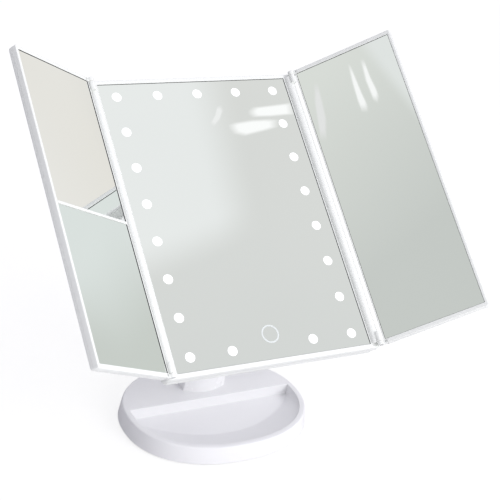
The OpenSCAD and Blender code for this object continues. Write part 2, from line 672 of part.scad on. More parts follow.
module back_shell() {
    x = panel_w - shell_in;
    z = panel_h - shell_in;
    color([0.93, 0.935, 0.95]) in_head() difference() {
        union() {
            difference() {
                union() {
                    plate_n(rrect(x, z, 4), -shell_back + 2, -frame_back);
                    translate([0, -glass_back + shell_back - 2, 0]) rotate([-90, 0, 0])
                        linear_extrude(2, scale = [1 - 1.6 / x, 1 - 1.6 / z]) polygon(rrect(x, z, 4));
                }
                plate_n(rrect(x - shell_wall, z - shell_wall, 3), wall_n, -frame_back + 1);
            }
            slab(-hump_w, hump_w, hump_n, wall_n, hump_z0, hump_z1);
            slab(-bracket_x - 4, bracket_x + 4, wall_n - e, pad_n, -bracket_z - 4, bracket_z + 4);
        }
        slab(-bay_w - bay_wall - gap, bay_w + bay_wall + gap, hump_n - 2, 0, tray_z - gap,
            tray_z + bay_l + 2 * bay_wall + gap);
        slab(-door_w - 0.3, door_w + 0.3, hump_n - 1, hump_n + door_t + 0.1, hump_z0 + 2.2, hump_z1 + 1);
        slab(-door_w - tongue, door_w + tongue, hump_n + door_t - 1, hump_n + door_t + 0.1, hump_z0 + 2.2,
            hump_z1 + 1);
        slab(-bracket_x - seat, bracket_x + seat, -shell_back - 1, -shell_back + bracket_t, -bracket_z - seat,
            bracket_z + seat);
        for (s = [-1, 1], t = [-1, 1]) peg_n(s * 19.5, t * 14, screw_r, -20, 0, 32);
        for (s = [-1, 1], t = [-boss_z, 0, boss_z]) {
            peg_n(s * boss_x, t, screw_r + 0.15, -20, 0, 32);
            peg_n(s * boss_x, t, head_r + 0.15, -20, -shell_back + 1.1, 32);
        }
        slab(-port_x - 4.6, -port_x + 4.6, -20, -7, port_z - 1.8, port_z + 1.8);
        slab(port_x - 3.9, port_x + 3.9, -20, -7, port_z - 1.6, port_z + 1.6);
    }
}
module shell_screws() {
    color("silver") in_head() for (s = [-1, 1], t = [-boss_z, 0, boss_z]) {
        peg_n(s * boss_x, t, screw_r - 0.02, -shell_back + 0.6, board_n - 1.4, 32);
        peg_n(s * boss_x, t, head_r, -shell_back + 0.1, -shell_back + 1, 32);
    }
}
module pivot_bracket() {
    color([0.78, 0.78, 0.8]) in_head() difference() {
        union() {
            slab(-bracket_x, bracket_x, -shell_back, -shell_back + bracket_t, -bracket_z, bracket_z);
            for (s = [-1, 1]) mirror([s < 0 ? 1 : 0, 0, 0]) {
                bar_x(lug_in, lug_out, lug_r);
                slab(lug_in, lug_out, -glass_back, -shell_back + e, -lug_r, lug_r);
            }
        }
        bar_x(-40, 40, shaft_r + shaft_fit);
        for (s = [-1, 1], t = [-1, 1]) {
            peg_n(s * 19.5, t * 14, screw_r + 0.15, -20, 0, 32);
            peg_n(s * 19.5, t * 14, head_r + 0.1, -20, -shell_back + 1, 32);
        }
    }
}
module bracket_screws() {
    color("silver") in_head() for (s = [-1, 1], t = [-1, 1]) {
        peg_n(s * 19.5, t * 14, screw_r - 0.02, -shell_back + 0.5, pad_n + 1.2, 32);
        peg_n(s * 19.5, t * 14, head_r, -shell_back + 0.05, -shell_back + 1, 32);
    }
}
module pivot_caps() {
    color([0.94, 0.94, 0.97]) in_head() for (s = [-1, 1]) difference() {
        bar_x(s > 0 ? lug_out : -cap_out, s > 0 ? cap_out : -lug_out, lug_r);
        bar_x(s > 0 ? lug_out - 1 : -cap_out + 1.4, s > 0 ? cap_out - 1.4 : -lug_out + 1, lug_r - 1.5);
    }
}
module hinge_washers() {
    color("white") in_head() for (s = [-1, 1], t = [-1, 1])
        translate([s * hinge_x, -glass_back - hinge_n, t > 0 ? rail_end + 0.03 : -rail_end - ear_gap + 0.03])
            difference() {
                cylinder(r = knuckle_r - 0.2, h = ear_gap - 0.06, $fn = 48);
                translate([0, 0, -1]) cylinder(r = pin_r + 0.06, h = 3, $fn = 32);
            }
}
function at_n(x, n, z) = [x, -glass_back - n, z];
module lead_wires() {
    b = ctl_n - ctl_t - 0.45;
    color("crimson") in_head() {
        wire([at_n(-10, b, ctl_z1 - 3), at_n(-10.5, b, ctl_z1 + 3), at_n(-12, -7.6, ctl_z1 + 12),
            at_n(-12, -7, ctl_z1 + 30), at_n(-12, -7, 0), at_n(-12, -7, tray_z - 6),
            at_n(-12, -8, tray_z)], 0.45);
        wire([at_n(-25, b, ctl_z1 - 10), at_n(-32, b, ctl_z1 - 10), at_n(-38, -8.4, ctl_z1 - 9),
            at_n(18 - 2 * led_dx, -6.6, ctl_z1 - 6),
            at_n(8 - 2 * led_dx, board_n - pcb_t - 0.5, ctl_z1 - 4),
            at_n(2 - 2 * led_dx, board_n - pcb_t - 0.45, ctl_z1 - 4)], 0.45);
    }
}

// ---- side panels ----
module wing_frame(bar) {
    difference() {
        union() {
            translate([(wing_in + wing_w) / 2, -wing_front, 0]) rotate([-90, 0, 0])
                linear_extrude(wing_front - wing_mid) polygon(rrect((wing_w - wing_in) / 2, wing_h, 1.6));
            for (t = [-1, 1]) translate([0, 0, t > 0 ? ear_z : -wing_h]) {
                cylinder(r = knuckle_r, h = wing_h - ear_z, $fn = 48);
                translate([0, -wing_front, 0]) cube([wing_in + 3, 4.15, wing_h - ear_z]);
            }
        }
        if (bar) {
            wslab(wing_u0, wing_u1, wing_floor, 1, bar_z + bar_w / 2, glass_hz);
            wslab(wing_u0, wing_u1, wing_floor, 1, -glass_hz, bar_z - bar_w / 2);
        } else wslab(wing_u0, wing_u1, wing_floor, 1, -glass_hz, glass_hz);
        translate([0, 0, -panel_h - 1]) cylinder(r = pin_r + 0.02, h = 2 * panel_h + 2, $fn = 32);
        wing_pegs(peg_r + 0.05, wing_mid - 1, 0);
    }
}
module wing_pegs(r, w0, w1) {
    for (u = [wing_u0 + 8, wing_u1 - 8], z = [-1, -1 / 3, 1 / 3, 1] * peg_z)
        translate([u, -w0, z]) rotate([90, 0, 0]) cylinder(r = r, h = w1 - w0, $fn = 32);
}
module wing_cover() {
    a = (wing_w - wing_in) / 2 - 0.15;
    b = wing_h - 0.15;
    difference() {
        translate([(wing_in + wing_w) / 2, 0, 0]) {
            translate([0, -wing_mid, 0]) rotate([-90, 0, 0]) linear_extrude(wing_mid - wing_back - 1)
                polygon(rrect(a, b, 1.6));
            translate([0, -wing_back - 1, 0]) rotate([-90, 0, 0])
                linear_extrude(1, scale = [1 - 0.8 / a, 1 - 0.8 / b]) polygon(rrect(a, b, 1.6));
        }
        wslab(wing_in + 1.8, wing_w - 1.8, wing_back + 1.4, wing_mid + 1, -wing_h + 1.8, wing_h - 1.8);
    }
    difference() {
        wing_pegs(peg_r + 1, wing_back + 1.3, wing_mid);
        wing_pegs(0.8, wing_mid - 1.2, wing_mid + 1);
    }
    wing_pegs(peg_r, wing_mid - 0.4, wing_floor - 0.05);
}
// Mirror with a hollow front, from its pocket's lower edge z0 to its upper edge z1
module dished(z0, z1) {
    nu = 12;
    nz = 16;
    u0 = wing_u0 + gap / 2 + 0.02;
    u1 = wing_u1 - gap / 2 - 0.02;
    function at(i, j) = let (a = 2 * i / nu - 1, b = 2 * j / nz - 1)
        [u0 + (u1 - u0) * i / nu, -wing_glass_n + dish_sag * (1 - a * a) * (1 - b * b),
            z0 + (z1 - z0) * j / nz];
    row = nu + 1;
    n = row * (nz + 1);
    front = [for (j = [0:nz], i = [0:nu]) at(i, j)];
    back = [for (j = [0:nz], i = [0:nu]) [at(i, j)[0], -wing_glass_n + wing_glass_t, at(i, j)[2]]];
    cells = [for (j = [0:nz - 1], i = [0:nu - 1]) j * row + i];
    polyhedron(concat(front, back), concat(
        [for (k = cells) [k, k + row, k + row + 1]],
        [for (k = cells) [k, k + row + 1, k + 1]],
        [for (k = cells) [n + k, n + k + 1, n + k + row + 1, n + k + row]],
        [for (i = [0:nu - 1]) [i, i + 1, n + i + 1, n + i]],
        [for (i = [0:nu - 1]) let (k = nz * row + i) [k + 1, k, n + k, n + k + 1]],
        [for (j = [0:nz - 1]) let (k = j * row) [k + row, k, n + k, n + k + row]],
        [for (j = [0:nz - 1]) let (k = j * row + nu) [k, k + row, n + k + row, n + k]]));
}
module wing_pads(z0, z1) {
    wslab(wing_u0 + 1, wing_u1 - 1, wing_floor, wing_floor + wing_pad_t, z0 + 1, z1 - 1);
}
module wing_pins() {
    for (t = [-1, 1]) translate([0, 0, t > 0 ? rail_end - pin_in : -wing_h])
        cylinder(r = pin_r, h = wing_h - rail_end + pin_in, $fn = 32);
}
bar_up = bar_z + bar_w / 2;
bar_dn = bar_z - bar_w / 2;
module left_frame() { color([0.96, 0.965, 0.98]) in_wing(-1, left_open) wing_frame(true); }
module left_cover() { color([0.9, 0.9, 0.92]) in_wing(-1, left_open) wing_cover(); }
module upper_magnifier() {
    color([0.87, 0.86, 0.83]) in_wing(-1, left_open) dished(bar_up + gap, glass_hz - gap);
}
module lower_magnifier() {
    color([0.8, 0.83, 0.81]) in_wing(-1, left_open) dished(-glass_hz + gap, bar_dn - gap);
}
module left_pads() {
    color("dimgray") in_wing(-1, left_open) {
        wing_pads(bar_up, glass_hz);
        wing_pads(-glass_hz, bar_dn);
    }
}
module left_pins() { color("silver") in_wing(-1, left_open) wing_pins(); }
module right_frame() { color([0.96, 0.965, 0.98]) in_wing(1, right_open) wing_frame(false); }
module right_cover() { color([0.92, 0.92, 0.94]) in_wing(1, right_open) wing_cover(); }
module right_mirror() {
    color([0.78, 0.81, 0.8]) in_wing(1, right_open) wslab(wing_u0 + gap, wing_u1 - gap,
        wing_glass_n - wing_glass_t, wing_glass_n, -glass_hz + gap, glass_hz - gap);
}
module right_pad() { color("dimgray") in_wing(1, right_open) wing_pads(-glass_hz, glass_hz); }
module right_pins() { color("silver") in_wing(1, right_open) wing_pins(); }

base_shell();
base_plate();
ballast();
feet();
base_screws();
neck_front();
neck_rear();
neck_screws();
anchor_screws();
pivot_eye();
friction_washers();
pivot_bolt();
spring_washers();
pivot_nut();
center_frame();
center_mirror();
mirror_tape();
led_windows();
touch_ring();
led_board();
led_chips();
touch_pad();
control_board();
board_parts();
board_screws();
usb_socket();
switch_body();
battery_tray();
battery_cells();
battery_springs();
battery_plates();
back_shell();
shell_screws();
pivot_bracket();
bracket_screws();
pivot_caps();
hinge_washers();
lead_wires();
battery_door();
switch_knob();
left_frame();
left_cover();
upper_magnifier();
lower_magnifier();
left_pads();
left_pins();
right_frame();
right_cover();
right_mirror();
right_pad();
right_pins();
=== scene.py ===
"""Looks of a lighted trifold table mirror, laid out as a Blender add-on.

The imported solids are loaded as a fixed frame. Each operator finishes one piece or a group of like
pieces, and main() runs them in order. Shapes are worked out in millimetres and placed in metres.
"""

import json
import math

import bmesh
import bpy
import numpy as np
from bpy.props import FloatProperty, FloatVectorProperty, PointerProperty
from mathutils import Matrix


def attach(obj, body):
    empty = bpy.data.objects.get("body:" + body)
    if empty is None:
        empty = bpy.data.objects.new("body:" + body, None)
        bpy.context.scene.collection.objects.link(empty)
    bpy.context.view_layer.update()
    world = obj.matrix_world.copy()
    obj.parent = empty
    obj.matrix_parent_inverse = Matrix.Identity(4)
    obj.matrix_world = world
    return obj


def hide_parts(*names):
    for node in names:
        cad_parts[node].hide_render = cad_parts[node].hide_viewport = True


bl_info = {
    "name": "Trifold Vanity Mirror",
    "version": (1, 0, 0),
    "blender": (4, 5, 0),
    "location": "3D View > Sidebar > Vanity Mirror",
    "description": "Finishes a lighted trifold table mirror around its packed solids",
    "category": "Object",
}

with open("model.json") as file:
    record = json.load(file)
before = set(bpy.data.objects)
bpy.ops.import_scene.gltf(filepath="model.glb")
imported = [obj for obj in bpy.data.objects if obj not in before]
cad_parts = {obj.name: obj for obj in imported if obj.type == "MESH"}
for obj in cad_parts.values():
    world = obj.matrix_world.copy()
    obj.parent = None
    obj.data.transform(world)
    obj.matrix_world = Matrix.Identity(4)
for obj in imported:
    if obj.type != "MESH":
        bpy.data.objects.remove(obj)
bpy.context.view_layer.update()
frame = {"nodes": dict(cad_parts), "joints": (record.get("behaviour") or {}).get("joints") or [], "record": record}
NODES = frame["nodes"]
JOINTS = {joint["name"]: joint for joint in frame["joints"]}
BODY_OF = {n: body for body, names in frame["record"]["behaviour"]["bodies"].items() for n in names}
SLOT_OF = {part["node"]: part["material_slot"] for part in frame["record"]["subparts"]}
MM = 0.001

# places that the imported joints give, in millimetres and degrees
TILT = -JOINTS["head_tilt"]["range_deg"][0]
PIVOT = [1000 * v for v in JOINTS["head_tilt"]["pos_m"]]
HINGE_X = 1000 * JOINTS["right_wing_fold"]["pos_m"][0]
OPEN = {-1: -JOINTS["left_wing_fold"]["range_deg"][0], 1: -JOINTS["right_wing_fold"]["range_deg"][0]}
GLASS_BACK = 24.0  # from the pivot to the glass front
HINGE_N = 4.8  # hinge pins in front of the glass
# Painted shade: the frame's pocket wall round each pane is painted near black, where shade falls.
PAINTED_GAP_SHADE = (0.03, 0.03, 0.033, 1)  # painted shade on the pocket wall round a pane

# the photograph's camera, in pixels of a picture 500 wide
PICTURE = 500
FOCAL = 1251.341
AIM_AT = (250, 290)


# ---- placing ----
def on_table(p):
    """Millimetres to metres, with no turn."""
    return MM * np.asarray(p, float)


def on_panel(p):
    """Centre panel to world: x across, n out of the glass and z up the panel, turned back by the tilt."""
    p = np.asarray(p, float)
    c, s = math.cos(math.radians(TILT)), math.sin(math.radians(TILT))
    d = GLASS_BACK + p[..., 1]
    y = PIVOT[1] - c * d + s * p[..., 2]
    z = PIVOT[2] + s * d + c * p[..., 2]
    return MM * np.stack([p[..., 0], y, z], -1)


def on_wing(side):
    """Side panel to world: u from the hinge pin, w out of the face and z up, opened by its angle."""
    a = math.radians(OPEN[side])

    def place(p):
        p = np.asarray(p, float)
        x = side * (HINGE_X + p[..., 0] * math.cos(a) - p[..., 1] * math.sin(a))
        n = HINGE_N + p[..., 0] * math.sin(a) + p[..., 1] * math.cos(a)
        return on_panel(np.stack([x, n, p[..., 2]], -1))

    return place


# ---- outlines ----
def signed_power(c, k):
    """sign(c) * |c|^k"""
    return np.sign(c) * np.abs(c) ** k


def oval(a, b, t, n=2.2):
    """Superellipse |x/a|^n + |y/b|^n = 1 at the angles t."""
    return np.stack([a * signed_power(np.cos(t), 2 / n), b * signed_power(np.sin(t), 2 / n)], -1)


def rect(hx, hz, r, cx=0.0, cz=0.0, k=6):
    """Rectangle of half sizes hx and hz with corners of radius r, as 4 quarter circles."""
    t = np.radians(np.concatenate([90 * q + 90 * np.arange(k + 1) / k for q in range(4)]))
    q = np.repeat(np.arange(4), k + 1)
    x = np.where((q == 0) | (q == 3), hx - r, r - hx) + r * np.cos(t)
    z = np.where(q < 2, hz - r, r - hz) + r * np.sin(t)
    return np.stack([x + cx, z + cz], -1)


def arc(c0, c1, r, a0, a1, steps=6):
    """Points of a circle of radius r about (c0, c1) from the angle a0 to a1, in degrees."""
    t = np.radians(np.linspace(a0, a1, steps + 1))
    return np.stack([c0 + r * np.cos(t), c1 + r * np.sin(t)], -1)


def cap_ring(outline, z):
    """Outline in x and y, laid at the height z or at its points' own heights."""
    return np.column_stack([outline, np.full(len(outline), z)])


def face_ring(outline, n):
    """Outline in x and z, laid at n in front of the glass."""
    return np.column_stack([outline[:, 0], np.full(len(outline), n), outline[:, 1]])


# ---- meshes ----
def tube(rings):
    """Quads between neighbouring rings of points, with both ends closed."""
    rings = np.asarray(rings, float)
    m, k = rings.shape[:2]
    i, j = k * np.arange(m - 1)[:, None], np.arange(k)[None]
    j2 = (j + 1) % k
    quads = np.stack([i + j, i + j2, i + k + j2, i + k + j], -1).reshape(-1, 4)
    faces = quads.tolist() + [list(range(k))[::-1], list(range((m - 1) * k, m * k))]
    return rings.reshape(-1, 3), faces


def rod(c0, c1, rows, end=1, steps=48):
    """Round rod about (c0, c1) through rows (height, radius); end -1 turns it upside down."""
    return tube([cap_ring(arc(c0, c1, r, 0, 360, steps)[:-1], end * z) for z, r in rows])


def plate(front, back):
    """Solid between two grids of points: both sheets, and a strip of quads round the edge."""
    nv, nu = front.shape[:2]
    i, j = np.arange(nv - 1)[:, None], np.arange(nu - 1)[None]
    a = i * nu + j
    sheet = np.stack([a, a + 1, a + nu + 1, a + nu], -1).reshape(-1, 4)
    edge = np.concatenate([np.arange(nu), nu * np.arange(1, nv) + nu - 1,
                           nv * nu - 2 - np.arange(nu - 1), nu * np.arange(nv - 2, 0, -1)])
    nxt = np.roll(edge, -1)
    n = nv * nu
    rim = np.stack([nxt, edge, edge + n, nxt + n], -1)
    faces = np.concatenate([sheet, sheet[:, ::-1] + n, rim])
    return np.concatenate([front.reshape(-1, 3), back.reshape(-1, 3)]), faces.tolist()


def volume(verts, faces):
    """Signed volume of a closed surface: the sum of a . (b x c) / 6 over its triangles."""
    tri = np.array([(f[0], f[k], f[k + 1]) for f in faces for k in range(1, len(f) - 1)])
    a, b, c = verts[tri[:, 0]], verts[tri[:, 1]], verts[tri[:, 2]]
    return float(np.einsum("ij,ij->i", a, np.cross(b, c)).sum()) / 6


def smoothed(mesh, angle):
    """Smooth faces, with edges sharper than the angle kept."""
    mesh.polygons.foreach_set("use_smooth", np.ones(len(mesh.polygons), bool))
    mesh.set_sharp_from_angle(angle=math.radians(angle))


def placed(name, data):
    """New object in the scene."""
    obj = bpy.data.objects.new(name, data)
    bpy.context.scene.collection.objects.link(obj)
    return obj


def build(name, islands, node, material, sharp=38):
    """One object from closed surfaces (points, faces), faces outwards, standing for a CAD node.

    A third item of a surface is its points' share of light, kept as the attribute "open", which the frame material
    uses to paint shade where it is low.
    """
    verts, faces, start = [], [], 0
    painted_light_shares = np.concatenate([i[2] if len(i) > 2 else np.ones(len(i[0])) for i in islands])
    for points, polygons in (i[:2] for i in islands):
        if volume(points, polygons) < 0:
            polygons = [f[::-1] for f in polygons]
        verts.append(points)
        faces += [[v + start for v in f] for f in polygons]
        start += len(points)
    mesh = bpy.data.meshes.new(name)
    mesh.from_pydata(np.concatenate(verts).tolist(), [], faces)
    smoothed(mesh, sharp)
    # Painted shade: points with a share below 1 are darkened by the frame material.
    if painted_light_shares.min() < 1:
        mesh.attributes.new("open", "FLOAT", "POINT").data.foreach_set("value", painted_light_shares.astype(np.float32))
    mesh.materials.append(material)
    mesh.update()
    obj = placed(name, mesh)
    nodes = [node] if isinstance(node, str) else list(node)
    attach(obj, BODY_OF[nodes[0]])
    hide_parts(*nodes)
    return obj


def rounded_copy(node, material, width=0.35, angle=35):
    """Merged copy of a CAD node whose edges are rounded by a bevel of the given width, in mm."""
    bm = bmesh.new()
    bm.from_mesh(NODES[node].data)
    bmesh.ops.remove_doubles(bm, verts=bm.verts, dist=2e-6)
    bmesh.ops.dissolve_limit(bm, angle_limit=math.radians(0.5), verts=bm.verts, edges=bm.edges)
    mesh = bpy.data.meshes.new(node + "_rounded")
    bm.to_mesh(mesh)
    bm.free()
    smoothed(mesh, angle)
    mesh.materials.clear()
    mesh.materials.append(material)
    obj = placed(node + "_rounded", mesh)
    bevel = obj.modifiers.new("Rounded edges", "BEVEL")
    bevel.width = width * MM
    bevel.segments = 2
    bevel.limit_method = "ANGLE"
    bevel.angle_limit = math.radians(angle)
    bevel.harden_normals = True
    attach(obj, BODY_OF[node])
    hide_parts(node)
    return obj


def finish(*nodes, key=None):
    """Gives CAD nodes the finish of their slot, or the one named by the key."""
    for node in nodes:
        material = FINISH[key or SLOT_OF[node]]
        data = NODES[node].data
        if not data.materials:
            data.materials.append(material)
        for s in NODES[node].material_slots:
            s.material = material


# ---- finishes ----
def srgb(r, g, b):
    """Screen values 0-255 to linear light."""
    c = np.array([r, g, b], float) / 255
    return tuple(np.where(c <= 0.04045, c / 12.92, ((c + 0.055) / 1.055) ** 2.4)) + (1.0,)


def preset(node, values):
    """Sets a node's inputs by name, and what isn't an input as a setting."""
    for key, value in values.items():
        if key in node.inputs:
            node.inputs[key].default_value = value
        else:
            setattr(node, key, value)


def shader(name):
    """New material, its link maker, its surface shader, a node maker and its object coordinates."""
    m = bpy.data.materials.new(name)
    m.use_nodes = True
    tree = m.node_tree
    surface = tree.nodes["Principled BSDF"]

    def add(kind, **values):
        node = tree.nodes.new(kind)
        preset(node, values)
        return node

    coords = tree.nodes.new("ShaderNodeTexCoord")
    return m, tree.links.new, surface, add, coords.outputs["Object"]


def noise(add, link, where, scale, detail=3.0, roughness=0.5, stretch=None):
    """Fractal noise on object coordinates, its scale per metre."""
    if stretch:
        mapping = add("ShaderNodeMapping", Scale=stretch)
        link(where, mapping.inputs["Vector"])
        where = mapping.outputs["Vector"]
    n = add("ShaderNodeTexNoise", Scale=scale, Detail=detail, Roughness=roughness)
    link(where, n.inputs["Vector"])
    return n.outputs["Fac"]


def ramp(add, link, fac, stops, kind="LINEAR"):
    """Colour ramp between two (place, colour) stops."""
    r = add("ShaderNodeValToRGB")
    r.color_ramp.interpolation = kind
    for item, (place, colour) in zip(r.color_ramp.elements, stops):
        item.position = place
        item.color = colour
    link(fac, r.inputs["Fac"])
    return r.outputs["Color"]


def spread(add, link, fac, low, high):
    """Map Range from 0-1 to low-high."""
    r = add("ShaderNodeMapRange", **{"To Min": low, "To Max": high})
    link(fac, r.inputs["Value"])
    return r.outputs["Result"]


def bumped(add, link, surface, height, distance):
    """Bump of the given depth, in metres."""
    b = add("ShaderNodeBump", Strength=1.0, Distance=distance)
    link(height, b.inputs["Height"])
    link(b.outputs["Normal"], surface.inputs["Normal"])


def scaled(colour, k):
    """Colour times k, no channel over 1."""
    return tuple(min(1.0, v * k) for v in colour[:3]) + (1.0,)


def moulded(name, colour, rough=0.28, grain=0.000003, grain_scale=900, vary=0.012, coat=0.0, mottle=14,
            paint_gap_shade=False):
    """Moulded plastic: slow colour drift, flow marks in the gloss, a fine skin, and painted shade mixed in by
    "open" (0 is fully shaded).
    """
    m, link, surface, add, where = shader(name)
    slow = noise(add, link, where, mottle, 2.0)
    tone = ramp(add, link, slow, [(0.3, scaled(colour, 1 - vary)), (0.7, scaled(colour, 1 + vary))])
    # Painted shade: the near black colour is mixed in where the attribute "open" falls towards 0.
    if paint_gap_shade:
        share = add("ShaderNodeAttribute", attribute_name="open")
        mix = add("ShaderNodeMix", data_type="RGBA")
        mix.inputs[6].default_value = PAINTED_GAP_SHADE
        link(share.outputs["Fac"], mix.inputs["Factor"])
        link(tone, mix.inputs[7])
        tone = mix.outputs[2]
    link(tone, surface.inputs["Base Color"])
    gloss = noise(add, link, where, 60, 4.0, 0.6)
    link(spread(add, link, gloss, rough * 0.8, rough * 1.25), surface.inputs["Roughness"])
    skin = noise(add, link, where, grain_scale, 2.0)
    bumped(add, link, surface, skin, grain)
    preset(surface, {"IOR": 1.49, "Coat Weight": coat, "Coat Roughness": 0.08})
    return m


def metal(name, colour, rough=0.25, stretch=(1, 1, 1), scale=900, depth=0.000004):
    """Machined metal: drawn lines in gloss and skin, and a slow cloud of tone."""
    m, link, surface, add, where = shader(name)
    lines = noise(add, link, where, scale, 3.0, 0.6, stretch)
    cloud = noise(add, link, where, 90, 2.0)
    link(ramp(add, link, cloud, [(0.3, scaled(colour, 0.9)), (0.7, scaled(colour, 1.06))]),
                   surface.inputs["Base Color"])
    link(spread(add, link, lines, rough * 0.65, rough * 1.4), surface.inputs["Roughness"])
    bumped(add, link, surface, lines, depth)
    surface.inputs["Metallic"].default_value = 1.0
    return m


def silvered(name, colour, rough=0.012, centre=None, curves=()):
    """Silvered glass: clear reflection with a faint wiped film.

    A magnifying mirror has a centre and curves (direction, radius): along each direction its normal
    leans back towards the centre by the distance divided by the radius of curvature.
    """
    m, link, surface, add, where = shader(name)
    film = noise(add, link, where, 26, 4.0, 0.65, (1.0, 0.6, 0.35))
    link(spread(add, link, film, rough * 0.6, rough * 1.8), surface.inputs["Roughness"])
    drift = noise(add, link, where, 7, 1.0)
    link(ramp(add, link, drift, [(0.25, scaled(colour, 0.985)), (0.75, scaled(colour, 1.01))]),
                   surface.inputs["Base Color"])
    surface.inputs["Metallic"].default_value = 1.0
    if centre is not None:
        away = add("ShaderNodeVectorMath", operation="SUBTRACT")
        away.inputs[1].default_value = tuple(centre)
        link(where, away.inputs[0])
        total = add("ShaderNodeNewGeometry").outputs["Normal"]
        for direction, radius in curves:
            part = add("ShaderNodeVectorMath", operation="DOT_PRODUCT")
            part.inputs[1].default_value = tuple(np.asarray(direction) / -radius)
            link(away.outputs[0], part.inputs[0])
            lean = add("ShaderNodeVectorMath", operation="SCALE")
            lean.inputs[0].default_value = tuple(direction)
            link(part.outputs["Value"], lean.inputs["Scale"])
            turned = add("ShaderNodeVectorTransform", vector_type="VECTOR", convert_from="OBJECT",
                         convert_to="WORLD")
            link(lean.outputs[0], turned.inputs[0])
            both = add("ShaderNodeVectorMath", operation="ADD")
            link(total, both.inputs[0])
            link(turned.outputs[0], both.inputs[1])
            total = both.outputs[0]
        unit = add("ShaderNodeVectorMath", operation="NORMALIZE")
        link(total, unit.inputs[0])
        link(unit.outputs[0], surface.inputs["Normal"])
    return m


def soft(name, colour, cell=900, depth=0.0002, rough=0.95):
    """Foam or rubber: open cells as a bump, and darker pits."""
    m, link, surface, add, where = shader(name)
    cells = add("ShaderNodeTexVoronoi", Scale=cell)
    link(where, cells.inputs["Vector"])
    link(ramp(add, link, cells.outputs["Distance"],
                        [(0.0, scaled(colour, 0.7)), (0.6, scaled(colour, 1.1))]),
                   surface.inputs["Base Color"])
    bumped(add, link, surface, cells.outputs["Distance"], depth)
    surface.inputs["Roughness"].default_value = rough
    return m


def frosted(name, colour, glow):
    """Frosted window: white ground glass that shines a little."""
    m, link, surface, add, where = shader(name)
    grain = noise(add, link, where, 2600, 2.0)
    link(ramp(add, link, grain, [(0.3, scaled(colour, 0.96)), (0.7, colour)]),
                   surface.inputs["Base Color"])
    preset(surface, {"Roughness": 0.55, "Emission Color": colour, "Emission Strength": glow})
    m.cycles.emission_sampling = "NONE"  # left out of the lamps' sampling, which lowers the grain
    bumped(add, link, surface, grain, 0.00001)
    return m


def board(name, ground, trace):
    """Circuit board: a lacquered ground with a mesh of slightly raised tracks."""
    m, link, surface, add, where = shader(name)
    tracks = add("ShaderNodeTexBrick", Scale=160.0, **{"Mortar Size": 0.03})
    link(where, tracks.inputs["Vector"])
    link(ramp(add, link, tracks.outputs["Fac"], [(0.2, ground), (0.8, trace)]),
                   surface.inputs["Base Color"])
    bumped(add, link, surface, tracks.outputs["Fac"], 0.00003)
    surface.inputs["Roughness"].default_value = 0.35
    return m


def banded(name, body, band):
    """Cell case: shrunk plastic sleeve in two colours, along the cell."""
    m, link, surface, add, where = shader(name)
    wave = add("ShaderNodeTexWave", Scale=23.0, Distortion=0.0, bands_direction="Z")
    link(where, wave.inputs["Vector"])
    tone = ramp(add, link, wave.outputs["Fac"], [(0.0, body), (0.8, band)], "CONSTANT")
    link(tone, surface.inputs["Base Color"])
    skin = noise(add, link, where, 1200, 2.0)
    bumped(add, link, surface, skin, 0.00002)
    surface.inputs["Roughness"].default_value = 0.3
    return m


FINISH = {}


